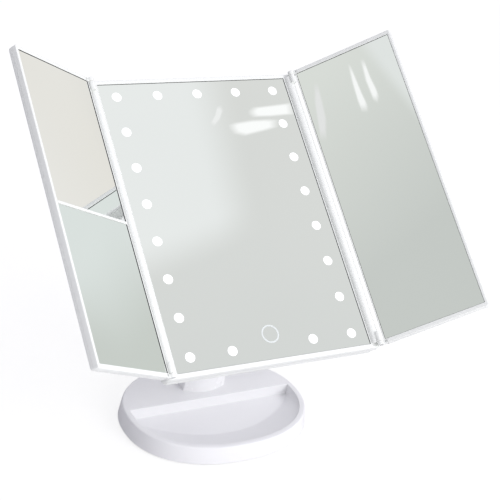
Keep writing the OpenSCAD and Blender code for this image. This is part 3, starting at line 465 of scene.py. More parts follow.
def make_finishes(colours):
    """Fills FINISH with one material for each finish of the record."""
    white = tuple(colours.frame) + (1.0,)
    base = tuple(colours.base) + (1.0,)
    wing = on_wing(-1)
    across, up = wing((1000, 0, 0)) - wing((0, 0, 0)), wing((0, 0, 1000)) - wing((0, 0, 0))
    FINISH.update(
        base_plastic=moulded("Base plastic", base, 0.3, mottle=9),
        neck_plastic=moulded("Neck plastic", scaled(base, 1.03), 0.26, mottle=11),
        plate_plastic=moulded("Base plate plastic", scaled(base, 0.93), 0.55, 0.00006, 700, 0.03),
        # Frame plastic paints shade on the pocket walls through the attribute "open".
        frame_plastic=moulded("Frame plastic", white, 0.2, 0.000002, 700, coat=0.15, paint_gap_shade=True),
        cover_plastic=moulded("Back cover plastic", scaled(white, 0.985), 0.42, 0.00004, 900, 0.02),
        cap_plastic=moulded("Pivot cap plastic", white, 0.24),
        tray_plastic=moulded("Battery tray plastic", srgb(205, 205, 208), 0.5, 0.00004, 800, 0.03),
        knob_black=moulded("Switch knob plastic", srgb(38, 38, 42), 0.4, 0.00004, 1200, 0.1),
        part_black=moulded("Component resin", srgb(34, 34, 36), 0.5, 0.00003, 2000, 0.1),
        washer_nylon=moulded("Nylon washers", srgb(236, 236, 230), 0.45, 0.00002, 1500, 0.03),
        wire_sleeve=moulded("Wire sleeve", srgb(190, 30, 34), 0.35, 0.00001, 900, 0.06),
        chip_resin=moulded("Lamp chip resin", srgb(250, 226, 150), 0.3, 0.00001, 900, 0.03),
        mirror_glass=silvered("Mirror glass", tuple(colours.mirror) + (1.0,)),
        upper_glass=silvered("Upper magnifying glass", tuple(colours.mirror) + (1.0,),
                             centre=wing((55.1, -1.05, 62.6)), curves=((across, 0.885), (up, 0.885))),
        lower_glass=silvered("Lower magnifying glass", tuple(colours.mirror) + (1.0,),
                             centre=wing((43.9, -1.05, -59.7)), curves=((across, 0.72), (up, 2.0))),
        window_frost=frosted("Frosted window", srgb(255, 255, 255), 0.25),
        etched=frosted("Etched ring", srgb(222, 227, 226), 0.02),
        foot_rubber=soft("Foot rubber", srgb(60, 60, 62), 1800, 0.00005, 0.85),
        pad_foam=soft("Foam pad", srgb(92, 92, 94), 1100, 0.0003),
        tape_foam=soft("Foam tape", srgb(232, 232, 230), 1500, 0.0001),
        washer_fibre=soft("Fibre washers", srgb(66, 60, 56), 2400, 0.00004, 0.8),
        board_white=board("Light board", srgb(236, 238, 236), srgb(214, 218, 214)),
        board_green=board("Control board", srgb(24, 92, 52), srgb(52, 138, 84)),
        cell_case=banded("Cell sleeve", srgb(36, 38, 44), srgb(206, 150, 70)),
        screw_steel=metal("Screw steel", srgb(196, 197, 200), 0.3, (1, 1, 1), 1800),
        eye_metal=metal("Zinc casting", srgb(188, 190, 194), 0.38, (1, 1, 1), 700, 0.00002),
        bolt_chrome=metal("Chromed bolt", srgb(214, 216, 220), 0.14, (0.1, 1, 1), 900),
        pin_steel=metal("Pin steel", srgb(200, 202, 206), 0.2, (1, 1, 0.1), 1400),
        spring_steel=metal("Spring steel", srgb(204, 205, 208), 0.22, (1, 1, 0.2), 1600),
        socket_steel=metal("Socket shell", srgb(198, 200, 204), 0.28, (1, 0.1, 1), 1300),
        weight_steel=metal("Weight steel", srgb(128, 130, 134), 0.45, (0.15, 1, 1), 500, 0.00003),
        contact_brass=metal("Touch contact", srgb(214, 178, 96), 0.3, (1, 1, 1), 1200),
    )


# ---- shapes ----
FRONT, HIND = 200, 100  # points along a base ring's front arc and back edge


def d_ring(a, b, back):
    """Oval of half sizes a and b cut straight at y = back, as a front arc and a back edge.

    The corner's angle follows from |y/b|^n = 1 - |x/a|^n; with no cut the back edge is the oval's.
    """
    s = (6.5 if back is None else min(back, b)) / b
    corner = math.asin(signed_power(s, 1.1))
    t = np.linspace(math.pi - corner, 2 * math.pi + corner, FRONT)
    front = oval(a, b, t)
    if back is None:
        rear = oval(a, b, np.linspace(corner, math.pi - corner, HIND + 2)[1:-1])
    else:
        x = np.linspace(front[-1, 0], front[0, 0], HIND + 2)[1:-1]
        rear = np.stack([x, np.full_like(x, back)], -1)
    return np.concatenate([front, rear])


def tray_bed(a, b, back, slope, rim_points):
    """Tray's floor line: an arc from the rim's back corners to the depth b - slope in front.

    Its centre lies at y = r - (b - slope) with r = (w^2 + h^2) / 2h. Every rim point is paired with
    the arc's point of the same outward direction, so that the slope between them is a ruled surface.
    """
    w, h = rim_points[:, 0].max(), b - slope + back
    r = (w * w + h * h) / (2 * h)
    middle = r - (b - slope)
    end = math.atan2(middle - back, w)
    n = signed_power(rim_points / [a, b], 1.2) / [a, b]
    away = np.abs(np.arctan2(n[:, 0], -n[:, 1]))  # from straight ahead, 0, to sideways, pi / 2
    last = math.pi / 2 - end
    inner = last - 0.05
    turn = np.where(away < inner, away, inner + 0.05 * (away - inner) / (math.pi / 2 + 0.2 - inner))
    turn = np.minimum(turn, last) * np.sign(n[:, 0])
    return np.stack([r * np.sin(turn), middle - r * np.cos(turn)], -1)


def base_islands(s):
    """Base cover: rings from the tray's floor up its slope, over the rim and down to the table edge."""
    a, b = 1000 * s.base_half_width, 1000 * s.base_half_depth
    top, low, floor, rim, back, flare = 15.8, 1.2, 6.4, 5.0, 7.0, 1.8
    slope, lip, edge = 1000 * s.tray_slope, 1000 * s.rim_round, 1000 * s.edge_round
    rings = []
    mouth = d_ring(a - rim, b - rim, back)
    bed = mouth.copy()
    bed[:FRONT] = tray_bed(a - rim, b - rim, back, slope, mouth[:FRONT])
    bed[FRONT:, 0] *= bed[FRONT - 1, 0] / mouth[FRONT - 1, 0]
    centre = np.array([0.0, -6.0])

    def lay(ring, z):
        rings.append(cap_ring(ring, z))

    def full(grow, z):
        lay(d_ring(a + grow, b + grow, None), z)

    for k in (0.5, 0.8, 0.955):  # the flat floor
        lay(centre + k * (bed - centre), floor)
    rise = top - lip - 0.25 - floor
    turn, share = 1.0, 0.035  # the hollow corners' radius, and their share of the slope
    for k in np.linspace(0, 1, 6):  # hollow corners: to the slope in front, to the back wall behind
        f = math.radians(90 * k)
        p = bed + 0.045 * (1 - k) * (centre - bed) + share * k * k * (mouth - bed)
        z = np.full(len(p), floor + share * k * k * rise)
        p[FRONT:, 1] = back - turn * (1 - math.sin(f))
        z[FRONT:] = floor + turn * (1 - math.cos(f))
        lay(p, z)
    for k in np.linspace(0.08, 1, 14):
        p = bed + k * (mouth - bed)
        z = np.full(len(p), floor + k * rise)
        p[FRONT:, 1] = back
        z[FRONT:] = floor + turn + (k - share) / (1 - share) * (rise - turn)
        lay(p, z)
    for f in np.radians(np.linspace(0, 90, 6)):  # rounded inner edge of the rim
        grow = lip * (1 - math.cos(f))
        ring = d_ring(a - rim + grow, b - rim + grow, back + grow)
        lay(ring, top - lip + lip * math.sin(f))
    for f in np.radians(np.linspace(0, 90, 8)):  # rounded outer edge
        full(-edge + edge * math.sin(f), top - edge + edge * math.cos(f))
    for z in (12, 8, 4, low + 0.5):
        full(flare * (top - z) / (top - low), z)
    full(flare - 0.4, low)
    full(-2.4, low)
    full(-2.4, 3.25)
    full(-3.9, 3.25)
    full(-3.9, 13.4)
    lay(d_ring(a - rim + 2.4, b - rim + 2.4, back + 2.4), 13.4)
    lay(d_ring(a - rim + 1.4, b - rim + 1.4, back + 2.4), 4.4)
    points, faces = tube(rings)
    return [(on_table(points), faces)]


def neck_islands():
    """Neck's front half: an arc y = d (x/h)^2 - f between round corners, blended up the neck.

    The foot is nearly a prism. Between the heights 27 and 35.6 it draws in, by 3w^2 - 2w^3, to the
    slim neck that stays clear of the upright panel.
    """
    z = np.concatenate([np.linspace(15.8, 27, 8), np.linspace(27.6, 35.6, 14), np.linspace(42, 139.3, 16),
                        [139.75, 140.0]])
    w = np.clip((z - 27) / 8.6, 0, 1)
    w = 3 * w**2 - 2 * w**3
    up = (z - 35.5) / 104.5
    trim = np.interp(z, [139.3, 140.0], [0, 0.6])
    h = (19.3 - 0.075 * (z - 15.8)) * (1 - w) + (16.6 - 2.1 * up) * w - trim
    f = (18.9 - 0.06 * (z - 15.8)) * (1 - w) + (8.5 - 0.4 * up) * w - trim
    d = 6 * (1 - w) + (4.8 - 0.4 * up) * w
    c = 1.6
    a = np.arctan(2 * d / h)
    xe = h - c + c * np.sin(a)
    yc = d * (xe / h) ** 2 - f + c * np.cos(a)
    x = xe[:, None] * np.linspace(0, 1, 16)[None]
    y = d[:, None] * (x / h[:, None]) ** 2 - f[:, None]
    t = (a - math.pi / 2)[:, None] * (1 - np.linspace(0, 1, 8)[None, 1:])
    x = np.hstack([x, (h - c)[:, None] + c * np.cos(t), h[:, None], h[:, None]])
    y = np.hstack([y, yc[:, None] + c * np.sin(t), yc[:, None] / 2, np.full_like(yc, -0.12)[:, None]])
    x = np.hstack([-x[:, :0:-1], x])
    y = np.hstack([y[:, :0:-1], y])
    points, faces = tube(np.stack([x, PIVOT[1] + y, np.repeat(z[:, None], x.shape[1], 1)], -1))
    return [(on_table(points), faces)]


POCKET_Z = 116.95  # half height of the pockets that hold the panes


def frame_islands():
    """Centre frame: rings of rounded rectangles over the bezel, two round rails and four knuckles."""
    px, pz = 81.35, POCKET_Z
    rows = [(px, pz, 0.3, -2.6), (px, pz, 0.3, 0.4)]
    rows += [(px + x, pz + x, 0.3 + x, n) for x, n in arc(0.4, 0.4, 0.4, 180, 90, 5)]
    rows += [(88.8 + x, 119.7 + x, 1.7 + x, n) for x, n in arc(0, 0, 0.8, 90, 0, 6)]
    rows += [(89.6, 120.5, 2.5, -5.6), (89.3, 120.2, 2.2, -5.95), (87.2, 118.1, 1.0, -5.95),
             (87.2, 118.1, 1.0, -4.4)]
    rings = [face_ring(rect(hx, hz, r), n) for hx, hz, r, n in rows]
    # The pocket wall rows get painted shade.
    parts = [(*tube(rings), shade_paint_share(rows, len(rings[0]), 0.42))]
    for side in (-1, 1):
        parts.append(rod(side * 85.9, 0.8, rod_ends(-117, 117, 3.7, 0.6)))
        parts += [rod(side * HINGE_X, HINGE_N, rod_ends(110, 117, 2.4, 0.4), end, 40) for end in (-1, 1)]
    return [(on_panel(p), *q) for p, *q in parts]


def shade_paint_share(rows, k, level):
    """Share of light for the first rows of a frame: none on the pocket's wall up to the level, where shade is
    painted.
    """
    n = np.array([row[-1] for row in rows])
    wall = (n < level) & (np.arange(len(n)) < 3)
    return np.repeat(np.where(wall, 0.0, 1.0), k)


def rod_ends(z0, z1, r, round_r, steps=5):
    """Rows (height, radius) of a rod whose ends are rounded by a quarter circle."""
    low = [(z0 + round_r * (1 - math.sin(t)), r - round_r * (1 - math.cos(t)))
           for t in np.linspace(math.pi / 2, 0, steps)]
    return low + [(z0 + z1 - z, q) for z, q in low[::-1]]


def wing_frame_islands(side, bar):
    """Side panel's frame: rings of rounded rectangles round its pocket, the hinge ears, the crossbar."""
    cu, hu = 44.55, 41.6  # middle and half width of the outside
    pu, ph, pz = 43.9, 39.85, POCKET_Z
    rows = [(pu, ph, pz, 0.3, -3.6), (pu, ph, pz, 0.3, -0.65)]
    rows += [(pu, ph + x, pz + x, 0.3 + x, n) for x, n in arc(0.3, -0.65, 0.3, 180, 90, 4)]
    rows += [(cu, hu - 0.7 + x, 119.6 + x, 0.9 + x, n) for x, n in arc(0, -1.05, 0.7, 90, 0, 5)]
    rows += [(cu, hu, 120.3, 1.6, -4.45), (cu, hu - 0.15, 120.15, 1.5, -4.6)]
    rings = [face_ring(rect(h, hz, r, c), w) for c, h, hz, r, w in rows]
    # The pocket wall rows get painted shade.
    parts = [(*tube(rings), shade_paint_share(rows, len(rings[0]), -0.6))]
    for end in (-1, 1):
        parts.append(rod(0, 0, rod_ends(117.3, 120.3, 2.4, 0.35, 4), end, 40))
        parts.append(tube([cap_ring(rect(1.975 + k, 0.775 + k, 0.3, 2.975, -2.125), end * z)
                           for z, k in rod_ends(117.3, 120.3, 1.0, 0.3, 4)]))
    if bar:
        rows = [(1.1, -3.6)] + [(0.7 + x, n) for x, n in arc(0, -0.75, 0.4, 0, 90, 5)]
        half = np.array(rows)
        outline = np.vstack([half, half[::-1] * [-1, 1]])
        rings = [np.column_stack([np.full(len(outline), u), outline[:, 1], outline[:, 0] - 1.3])
                 for u in (4.0, 83.8)]
        parts.append(tube(rings))
    place = on_wing(side)
    return [(place(p), *q) for p, *q in parts]


def dish_islands(side, z0, z1, sag=0.25, nu=48, nz=72):
    """Magnifying mirror: front w = -1.05 - sag (1 - a^2)(1 - b^2) over its rectangle, flat back."""
    u0, u1 = 4.19, 83.61
    a, b = np.meshgrid(np.linspace(-1, 1, nu + 1), np.linspace(-1, 1, nz + 1))
    u = (u0 + u1) / 2 + a * (u1 - u0) / 2
    z = (z0 + z1) / 2 + b * (z1 - z0) / 2
    front = np.stack([u, -1.05 - sag * (1 - a * a) * (1 - b * b), z], -1)
    back = np.stack([u, np.full_like(u, -2.85), z], -1)
    points, faces = plate(front, back)
    return [(on_wing(side)(points), faces)]


def screw_islands(places, head_t, length, head_r=2.6, shank_r=1.2):
    """Screws: a shank, a head with a rounded rim and a cross recess cut as a depth over its top.

    Each place is a function from (x, y, h) to the world, h up out of the head's top.
    """
    t = np.linspace(0, 2 * np.pi, 41)[:-1]
    rows = [(0.02, -length), (shank_r * 0.6, -length), (shank_r, -length + 0.8), (shank_r, -head_t)]
    rows += [(head_r, -head_t)] + [(head_r - 0.25 + x, h) for x, h in arc(0, -0.25, 0.25, 0, 90, 4)]
    rows += [(r, 0.0) for r in np.linspace(head_r - 0.4, 0.02, 16)]
    r, h = np.array(rows).T
    x = r[:, None] * np.cos(t)[None]
    y = r[:, None] * np.sin(t)[None]
    ax, ay = np.abs(x), np.abs(y)
    arm = np.minimum(np.maximum(ax / 0.32, ay / 1.25), np.maximum(ay / 0.32, ax / 1.25))
    cut = np.where(np.arange(len(r))[:, None] > 8, np.clip(1.35 - arm, 0, 1) * 0.7, 0)
    z = h[:, None] - cut
    points, faces = tube(np.stack([x, y, z], -1))
    return [(place(points), faces) for place in places]


# ---- settings ----
class VanitySizes(bpy.types.PropertyGroup):
    """Sizes that a user may change."""

    base_half_width: FloatProperty(
        name="Base half width", description="Half width of the base's top", unit="LENGTH", default=0.0768)
    base_half_depth: FloatProperty(
        name="Base half depth", description="Half depth of the base's top", unit="LENGTH", default=0.058)
    tray_slope: FloatProperty(
        name="Tray slope", description="Width of the slope from the tray's floor to its front rim",
        unit="LENGTH", default=0.0235)
    rim_round: FloatProperty(
        name="Rim rounding", description="Radius of the tray rim's inner edge", unit="LENGTH", default=0.0005)
    edge_round: FloatProperty(
        name="Edge rounding", description="Radius of the base's outer top edge",
        unit="LENGTH", default=0.0014)


class VanityColours(bpy.types.PropertyGroup):
    """Colours that a user may change."""

    frame: FloatVectorProperty(
        name="Frame", description="Colour of the mirror frames", subtype="COLOR", min=0, max=1,
        default=srgb(240, 242, 239)[:3])
    base: FloatVectorProperty(
        name="Base", description="Colour of the base and the neck", subtype="COLOR", min=0, max=1,
        default=srgb(243, 243, 245)[:3])
    mirror: FloatVectorProperty(
        name="Mirror", description="Tint of the silvered glass", subtype="COLOR", min=0, max=1,
        default=srgb(247, 249, 248)[:3])


# ---- operators ----
class VANITY_OT_base(bpy.types.Operator):
    """Base cover with its tray, bottom plate, weight and rubber pads"""

    bl_idname = "vanity.base"
    bl_label = "Base"

    def execute(self, context):
        build("base_cover", base_islands(context.scene.vanity_sizes), "base_shell", FINISH["base_plastic"])
        rounded_copy("feet", FINISH["foot_rubber"], 0.3)
        finish("base_plate", "ballast")
        return {"FINISHED"}


class VANITY_OT_neck(bpy.types.Operator):
    """Neck halves, the pivot eye and the tilt bolt's stack"""

    bl_idname = "vanity.neck"
    bl_label = "Neck"

    def execute(self, context):
        build("neck_front_shell", neck_islands(), "neck_front", FINISH["neck_plastic"])
        rounded_copy("neck_rear", FINISH["neck_plastic"], 0.2, 32)
        rounded_copy("pivot_eye", FINISH["eye_metal"], 0.3)
        finish("friction_washers", "pivot_bolt", "spring_washers", "pivot_nut")
        return {"FINISHED"}


class VANITY_OT_centre_frame(bpy.types.Operator):
    """Centre panel's front frame with its rails and knuckles, and the hinge washers"""

    bl_idname = "vanity.centre_frame"
    bl_label = "Centre frame"

    def execute(self, context):
        build("centre_bezel", frame_islands(), "center_frame", FINISH["frame_plastic"])
        finish("hinge_washers")
        return {"FINISHED"}


class VANITY_OT_centre_glass(bpy.types.Operator):
    """Centre mirror with its light windows and touch ring"""

    bl_idname = "vanity.centre_glass"
    bl_label = "Centre glass"

    def execute(self, context):
        finish("center_mirror", "led_windows", "mirror_tape")
        finish("touch_ring", key="etched")
        return {"FINISHED"}


class VANITY_OT_electronics(bpy.types.Operator):
    """Boards, lamp chips, sensor, socket, switch, cells and wires"""

    bl_idname = "vanity.electronics"
    bl_label = "Electronics"

    def execute(self, context):
        finish("led_board", "led_chips", "touch_pad", "control_board", "board_parts", "board_screws",
               "usb_socket", "switch_body", "battery_tray", "battery_cells", "battery_springs",
               "battery_plates", "lead_wires")
        rounded_copy("switch_knob", FINISH["knob_black"], 0.2)
        return {"FINISHED"}


class VANITY_OT_back(bpy.types.Operator):
    """Back cover, battery door, pivot bracket and caps"""

    bl_idname = "vanity.back"
    bl_label = "Back"

    def execute(self, context):
        rounded_copy("back_shell", FINISH["cover_plastic"], 0.4)
        rounded_copy("battery_door", FINISH["cover_plastic"], 0.25)
        rounded_copy("pivot_bracket", FINISH["eye_metal"], 0.3)
        rounded_copy("pivot_caps", FINISH["cap_plastic"], 0.8)
        return {"FINISHED"}


class VANITY_OT_left_panel(bpy.types.Operator):
    """Left side panel with its two magnifying mirrors"""

    bl_idname = "vanity.left_panel"
    bl_label = "Left panel"

    def execute(self, context):
        build("left_bezel", wing_frame_islands(-1, True), "left_frame", FINISH["frame_plastic"])
        build("upper_dish", dish_islands(-1, 0.05, 116.7), "upper_magnifier", FINISH["upper_glass"], 60)
        build("lower_dish", dish_islands(-1, -116.7, -2.65), "lower_magnifier", FINISH["lower_glass"], 60)
        rounded_copy("left_cover", FINISH["cover_plastic"], 0.4)
        finish("left_pads", "left_pins")
        return {"FINISHED"}


class VANITY_OT_right_panel(bpy.types.Operator):
    """Right side panel with its plain mirror"""

    bl_idname = "vanity.right_panel"
    bl_label = "Right panel"

    def execute(self, context):
        build("right_bezel", wing_frame_islands(1, False), "right_frame", FINISH["frame_plastic"])
        rounded_copy("right_cover", FINISH["cover_plastic"], 0.4)
        finish("right_mirror", "right_pad", "right_pins")
        return {"FINISHED"}


class VANITY_OT_screws(bpy.types.Operator):
    """Every screw that can be seen from outside, with a cross recess"""

    bl_idname = "vanity.screws"
    bl_label = "Screws"

    def execute(self, context):
        def back(x, n, z):
            return lambda p: on_panel(np.stack([x + p[..., 0], n - p[..., 2], z + p[..., 1]], -1))

        def below(x, y, z):
            return lambda p: on_table(np.stack([x + p[..., 0], y + p[..., 1], z - p[..., 2]], -1))

        def behind(x, y, z):
            return lambda p: on_table(np.stack([x + p[..., 0], y + p[..., 2], z + p[..., 1]], -1))

        both, y = (-1, 1), PIVOT[1]
        for name, node, head_t, length, places in (
            ("cover_screws", "shell_screws", 0.9, 8.4,
             [back(s * 80, -14.4, z) for s in both for z in (-100, 0, 100)]),
            ("bracket_screw_set", "bracket_screws", 0.95, 4.9,
             [back(s * 19.5, -14.45, z) for s in both for z in (-14, 14)]),
            ("plate_screws", "base_screws", 1.0, 5.0,
             [below(s * 56, front, 1.3) for s in both for front in (-20, 20)]),
            ("foot_screws", "anchor_screws", 1.0, 10.5, [below(s * 6, y, 1.3) for s in both]),
            ("rear_screws", "neck_screws", 1.2, 15.4, [behind(0, y + 8.65, z) for z in (60, 100, 124, 132)]),
        ):
            build(name, screw_islands(places, head_t, length), node, FINISH["screw_steel"])
        return {"FINISHED"}


class VANITY_OT_stage(bpy.types.Operator):
    """Camera, floor, background and lamps"""

    bl_idname = "vanity.stage"
    bl_label = "Stage"

    def execute(self, context):
        make_camera(context.scene)
        make_background(context.scene)
        make_ceiling_lights()
        make_floor()
        make_lamps()
        return {"FINISHED"}


# ---- stage ----
def camera_place():
    """The photograph's camera: its right, up and back directions, and its place in metres."""
    az, el, roll = (math.radians(v) for v in (-32.7349, 29.4322, 10.3601))
    right = np.array([math.cos(az), math.sin(az), 0.0])
    back = np.array([math.sin(az) * math.cos(el), -math.cos(az) * math.cos(el), math.sin(el)])
    up = np.cross(back, right)
    turn = np.column_stack([math.cos(roll) * right + math.sin(roll) * up,
                            math.cos(roll) * up - math.sin(roll) * right, back])
    return turn, (np.array([0, 0, 100.0]) + turn @ np.array([15.0037, 18.1354, 970.2863])) * MM


def put(obj, turn, place):
    """Gives an object its three directions and its place."""
    m = np.eye(4)
    m[:3, :3] = turn
    m[:3, 3] = place
    obj.matrix_world = Matrix(m.tolist())


def make_camera(scene):
    """Camera at the photograph's place, 0.97 m from the object."""
    turn, eye = camera_place()
    data = bpy.data.cameras.new("Camera")
    data.sensor_width = 36
    data.lens = FOCAL * data.sensor_width / PICTURE
    data.shift_y = (AIM_AT[1] - PICTURE / 2) / PICTURE
    data.clip_start, data.clip_end = 0.01, 100
    camera = placed("Camera", data)
    put(camera, turn, eye)
    scene.camera = camera


def make_background(scene):
    """White where the camera looks past the object; a painted room in the reflections.

    A direction (x, y, z) is looked up on a ceiling as (x/z, y/z): a pale panel in its middle, a greyer
    part to its left, and a cream wall low down on the right. As light it is brighter from the right
    and from above.
    """
    world = bpy.data.worlds.new("World")
    scene.world = world
    world.use_nodes = True
    tree = world.node_tree
    tree.nodes.clear()
    add, link = tree.nodes.new, tree.links.new

    def feed(sockets, *values):
        for socket, value in zip(sockets, values):
            if isinstance(value, bpy.types.NodeSocket):
                link(value, socket)
            else:
                socket.default_value = value + (1.0,) if isinstance(value, tuple) else value

    def maths(kind, first, second):
        node = add("ShaderNodeMath")
        node.operation = kind
        feed(node.inputs, first, second)
        return node.outputs[0]

    def step(value, low, high, kind="SMOOTHSTEP"):
        node = add("ShaderNodeMapRange")
        node.interpolation_type = kind
        node.inputs["From Min"].default_value = low
        node.inputs["From Max"].default_value = high
        link(value, node.inputs["Value"])
        return node.outputs["Result"]

    def blend(share, first, second):
        node = add("ShaderNodeMix")
        node.data_type = "RGBA"
        link(share, node.inputs["Factor"])
        feed(node.inputs[6:8], first, second)
        return node.outputs[2]

    split = add("ShaderNodeSeparateXYZ")
    link(add("ShaderNodeTexCoord").outputs["Generated"], split.inputs[0])
    dx, dy, dz = split.outputs
    high = maths("MAXIMUM", dz, 0.12)
    x, y = maths("DIVIDE", dx, high), maths("DIVIDE", dy, high)
    panel_side = step(maths("ADD", x, maths("MULTIPLY", y, 0.25)), 0.515, 0.46)
    bend = maths("MULTIPLY", x, maths("SUBTRACT", 0.0213, maths("MULTIPLY", x, 0.3134)))
    panel_end = step(maths("ADD", y, bend), -0.333, -0.287)
    across = step(x, 0.0, 0.4)
    dim = blend(step(y, -0.4, -0.1, "LINEAR"), (0.705, 0.718, 0.708), (0.74, 0.745, 0.728))
    dim = blend(across, (0.66, 0.682, 0.652), dim)
    pale = blend(across, (0.808, 0.838, 0.828), (0.862, 0.876, 0.872))
    middle = blend(maths("MULTIPLY", panel_side, panel_end), dim, pale)
    left = blend(step(y, -0.17, 0.04, "LINEAR"), (0.6, 0.622, 0.6), (0.735, 0.755, 0.722))
    corner = step(maths("SUBTRACT", x, maths("MULTIPLY", y, 0.2)), -0.966, -0.942)
    left = blend(corner, left, (0.795, 0.818, 0.806))
    ceiling = blend(step(x, -0.86, -0.5), left, middle)
    low = maths("ADD", maths("MULTIPLY", dy, 1.25), maths("MULTIPLY", dz, 1.71))
    cream = blend(step(low, 0.93, 0.82, "LINEAR"), (0.815, 0.787, 0.735), (0.872, 0.856, 0.83))
    wall = blend(step(dx, 0.25, 0.6), (0.78, 0.79, 0.8), cream)
    painted = blend(step(dz, 0.27, 0.4), wall, ceiling)
    right = step(maths("ADD", dx, maths("MULTIPLY", dy, -0.5)), -0.9, 0.6)
    sky = blend(step(dz, 0.0, 0.9), blend(right, (0.0, 0.0, 0.0), (0.36, 0.356, 0.384)),
                blend(right, (0.79, 0.778, 0.848), (1.15, 1.135, 1.232)))

    ray = add("ShaderNodeLightPath")
    white, room, mirror = (add("ShaderNodeBackground") for _ in range(3))
    white.inputs["Color"].default_value = (1, 1, 1, 1)
    link(sky, room.inputs["Color"])
    link(painted, mirror.inputs["Color"])
    first, second = add("ShaderNodeMixShader"), add("ShaderNodeMixShader")
    feed(first.inputs, ray.outputs["Is Glossy Ray"], room.outputs[0], mirror.outputs[0])
    feed(second.inputs, ray.outputs["Is Camera Ray"], first.outputs[0], white.outputs[0])
    link(second.outputs[0], add("ShaderNodeOutputWorld").inputs["Surface"])
    scene.view_settings.view_transform = "Standard"


def stage_material(name):
    """Empty material that isn't sampled as a lamp, with its node and link makers."""
    m = bpy.data.materials.new(name)
    m.cycles.emission_sampling = "NONE"
    m.use_nodes = True
    m.node_tree.nodes.clear()
    return m, m.node_tree.nodes.new, m.node_tree.links.new


def thrown(place, level, pixels, height=2.6):
    """Where a mirror throws the camera's view: a pixel's ray, turned back at the glass, cut at a height."""
    turn, eye = camera_place()
    pixels = np.asarray(pixels, float)
    ray = np.column_stack([(pixels - AIM_AT) / FOCAL * [1, -1], -np.ones(len(pixels))]) @ turn.T
    glass = place((0, level, 0))
    n = place((0, 1000, 0)) - place((0, 0, 0))
    reach = ((glass - eye) @ n) / (ray @ n)
    hit = eye + ray * reach[:, None]
    out = ray - 2 * (ray @ n)[:, None] * n
    return hit + out * ((height - hit[:, 2]) / out[:, 2])[:, None]


def make_ceiling_lights():
    """Bright strips under the ceiling that only reflections show, with soft edges.

    Their outlines are given in the photograph's pixels, where the mirrors show them.
    """
    centre, right = (on_panel, 0.0), (on_wing(1), -1.05)
    strips = (
        ("Strip A", centre, 1.05, (
            (247.5, 111), (252, 107.2), (270, 105), (290, 102.5), (294, 103), (296, 114.5), (291, 115),
            (270, 117), (252, 117.5), (248, 114.5))),
        ("Strip B", centre, 1.05, (
            (228, 125), (233, 122.5), (252, 119.5), (270, 118.5), (279, 119.5), (279, 127), (270, 130),
            (256, 133.5), (244, 136.5), (233, 134), (229, 129))),
        ("Strip C", centre, 0.92, (
            (217, 106), (221, 105), (223.5, 110), (220, 120), (214, 127), (210, 124), (215, 115))),
        ("Strip D", right, 1.0, (
            (347.5, 63), (350, 64), (355, 76), (362, 93), (368.5, 107), (368, 112.5), (362, 112.5),
            (358, 103), (351.5, 81))),
        ("Strip E", right, 1.0, (
            (360, 59), (363.5, 58.5), (370, 76), (377, 90), (379.5, 97), (378, 103.5), (373.5, 101),
            (365, 80))),
        ("Strip F", right, 0.82, (
            (314, 82), (318, 83), (323, 102), (327, 120), (327, 141), (320.5, 141), (317, 120),
            (314, 100))),
    )
    for name, (place, level), strength, outline in strips:
        rim = thrown(place, level, outline)
        middle = rim.mean(0)
        k = len(rim)
        rings = [rim, middle + 0.62 * (rim - middle), middle + 0.2 * (rim - middle)]
        faces = [(i * k + j, i * k + (j + 1) % k, (i + 1) * k + (j + 1) % k, (i + 1) * k + j)
                 for i in range(2) for j in range(k)] + [tuple(range(2 * k, 3 * k))]
        mesh = bpy.data.meshes.new(name)
        mesh.from_pydata(np.concatenate(rings).tolist(), [], faces)
        solid = np.repeat([0.0, 1.0, 1.0], k).astype(np.float32)
        mesh.attributes.new("solid", "FLOAT", "POINT").data.foreach_set("value", solid)
        m, add, link = stage_material(name)
        share, glow = add("ShaderNodeAttribute"), add("ShaderNodeEmission")
        clear = add("ShaderNodeBsdfTransparent")
        share.attribute_name = "solid"
        glow.inputs["Strength"].default_value = strength
        mix = add("ShaderNodeMixShader")
        link(share.outputs["Fac"], mix.inputs["Fac"])
        link(clear.outputs[0], mix.inputs[1])
        link(glow.outputs[0], mix.inputs[2])
        link(mix.outputs[0], add("ShaderNodeOutputMaterial").inputs["Surface"])
        mesh.materials.append(m)
        strip = placed(name, mesh)
        strip.visible_camera = strip.visible_diffuse = strip.visible_shadow = False


def make_floor():
    """Plain pale floor that keeps a soft shadow and shows white to the camera."""
    verts, faces = [(-4, -4, 0), (4, -4, 0), (4, 4, 0), (-4, 4, 0)], [(0, 1, 2, 3)]
    mesh = bpy.data.meshes.new("Floor")
    mesh.from_pydata(verts, [], faces)
    m, add, link = stage_material("Floor")
    ray = add("ShaderNodeLightPath")
    plain, seen, glow = add("ShaderNodeBsdfDiffuse"), add("ShaderNodeBsdfDiffuse"), add("ShaderNodeEmission")
    plain.inputs["Color"].default_value = (0.78, 0.78, 0.78, 1)
    seen.inputs["Color"].default_value = (0.3, 0.3, 0.3, 1)
    glow.inputs["Strength"].default_value = 0.76
    both, pick, out = add("ShaderNodeAddShader"), add("ShaderNodeMixShader"), add("ShaderNodeOutputMaterial")
    link(seen.outputs[0], both.inputs[0])
    link(glow.outputs[0], both.inputs[1])
    link(ray.outputs["Is Camera Ray"], pick.inputs["Fac"])
    link(plain.outputs[0], pick.inputs[1])
    link(both.outputs[0], pick.inputs[2])
    link(pick.outputs[0], out.inputs["Surface"])
    mesh.materials.append(m)
    floor = placed("Floor", mesh)


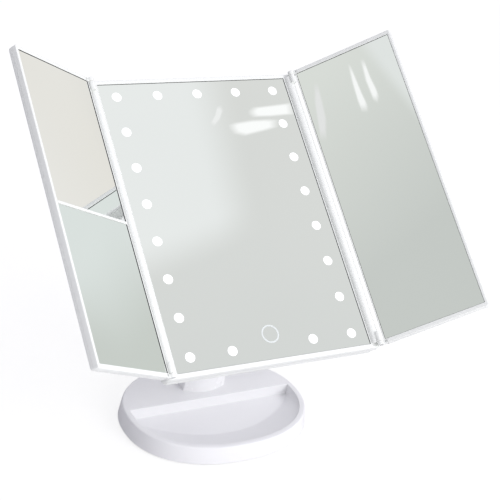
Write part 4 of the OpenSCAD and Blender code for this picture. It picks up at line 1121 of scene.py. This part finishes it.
def aim(obj, place, target=(0, 0, 0.12)):
    """Puts a lamp at a place, its -Z axis towards the target."""
    back = np.array(place, float) - np.array(target, float)
    back /= np.linalg.norm(back)
    side = np.cross([0, 0, 1.0], back)
    side /= np.linalg.norm(side)
    put(obj, np.column_stack([side, np.cross(back, side), back]), place)


def make_lamps():
    """A large key from the front right and a weak lamp in front, kept out of the mirrors."""
    for name, place, size, power in (
        ("Key", (0.75, -1.45, 0.9), 0.9, 13.2),
        ("Front", (-0.25, -1.5, 0.45), 0.7, 3.2),
    ):
        data = bpy.data.lights.new(name, "AREA")
        data.shape = "SQUARE"
        data.size = size
        data.energy = power
        data.color = (1.0, 1.0, 0.98)
        lamp = placed(name, data)
        aim(lamp, place)
        lamp.visible_glossy = False


class VANITY_PT_panel(bpy.types.Panel):
    """Sizes, colours and steps of the vanity mirror"""

    bl_idname = "VANITY_PT_panel"
    bl_label = "Vanity Mirror"
    bl_space_type = "VIEW_3D"
    bl_region_type = "UI"
    bl_category = "Vanity Mirror"

    def draw(self, context):
        for group in (context.scene.vanity_sizes, context.scene.vanity_colours):
            for name in group.__annotations__:
                self.layout.prop(group, name)
        for step in STEPS:
            self.layout.operator(step.bl_idname)


STEPS = (VANITY_OT_base, VANITY_OT_neck, VANITY_OT_centre_frame, VANITY_OT_centre_glass,
         VANITY_OT_electronics, VANITY_OT_back, VANITY_OT_left_panel, VANITY_OT_right_panel,
         VANITY_OT_screws, VANITY_OT_stage)
CLASSES = (VanitySizes, VanityColours, *STEPS, VANITY_PT_panel)


def register():
    """Adds the classes and the two groups of settings."""
    for c in CLASSES:
        bpy.utils.register_class(c)
    bpy.types.Scene.vanity_sizes = PointerProperty(type=VanitySizes)
    bpy.types.Scene.vanity_colours = PointerProperty(type=VanityColours)


def unregister():
    """Takes them away again."""
    del bpy.types.Scene.vanity_colours
    del bpy.types.Scene.vanity_sizes
    for c in reversed(CLASSES):
        bpy.utils.unregister_class(c)


def main():
    """Registers the add-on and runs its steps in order."""
    register()
    make_finishes(bpy.context.scene.vanity_colours)
    for step in STEPS:
        family, name = step.bl_idname.split(".")
        getattr(getattr(bpy.ops, family), name)()
    bpy.context.view_layer.update()


if __name__ == "__main__":
    main()
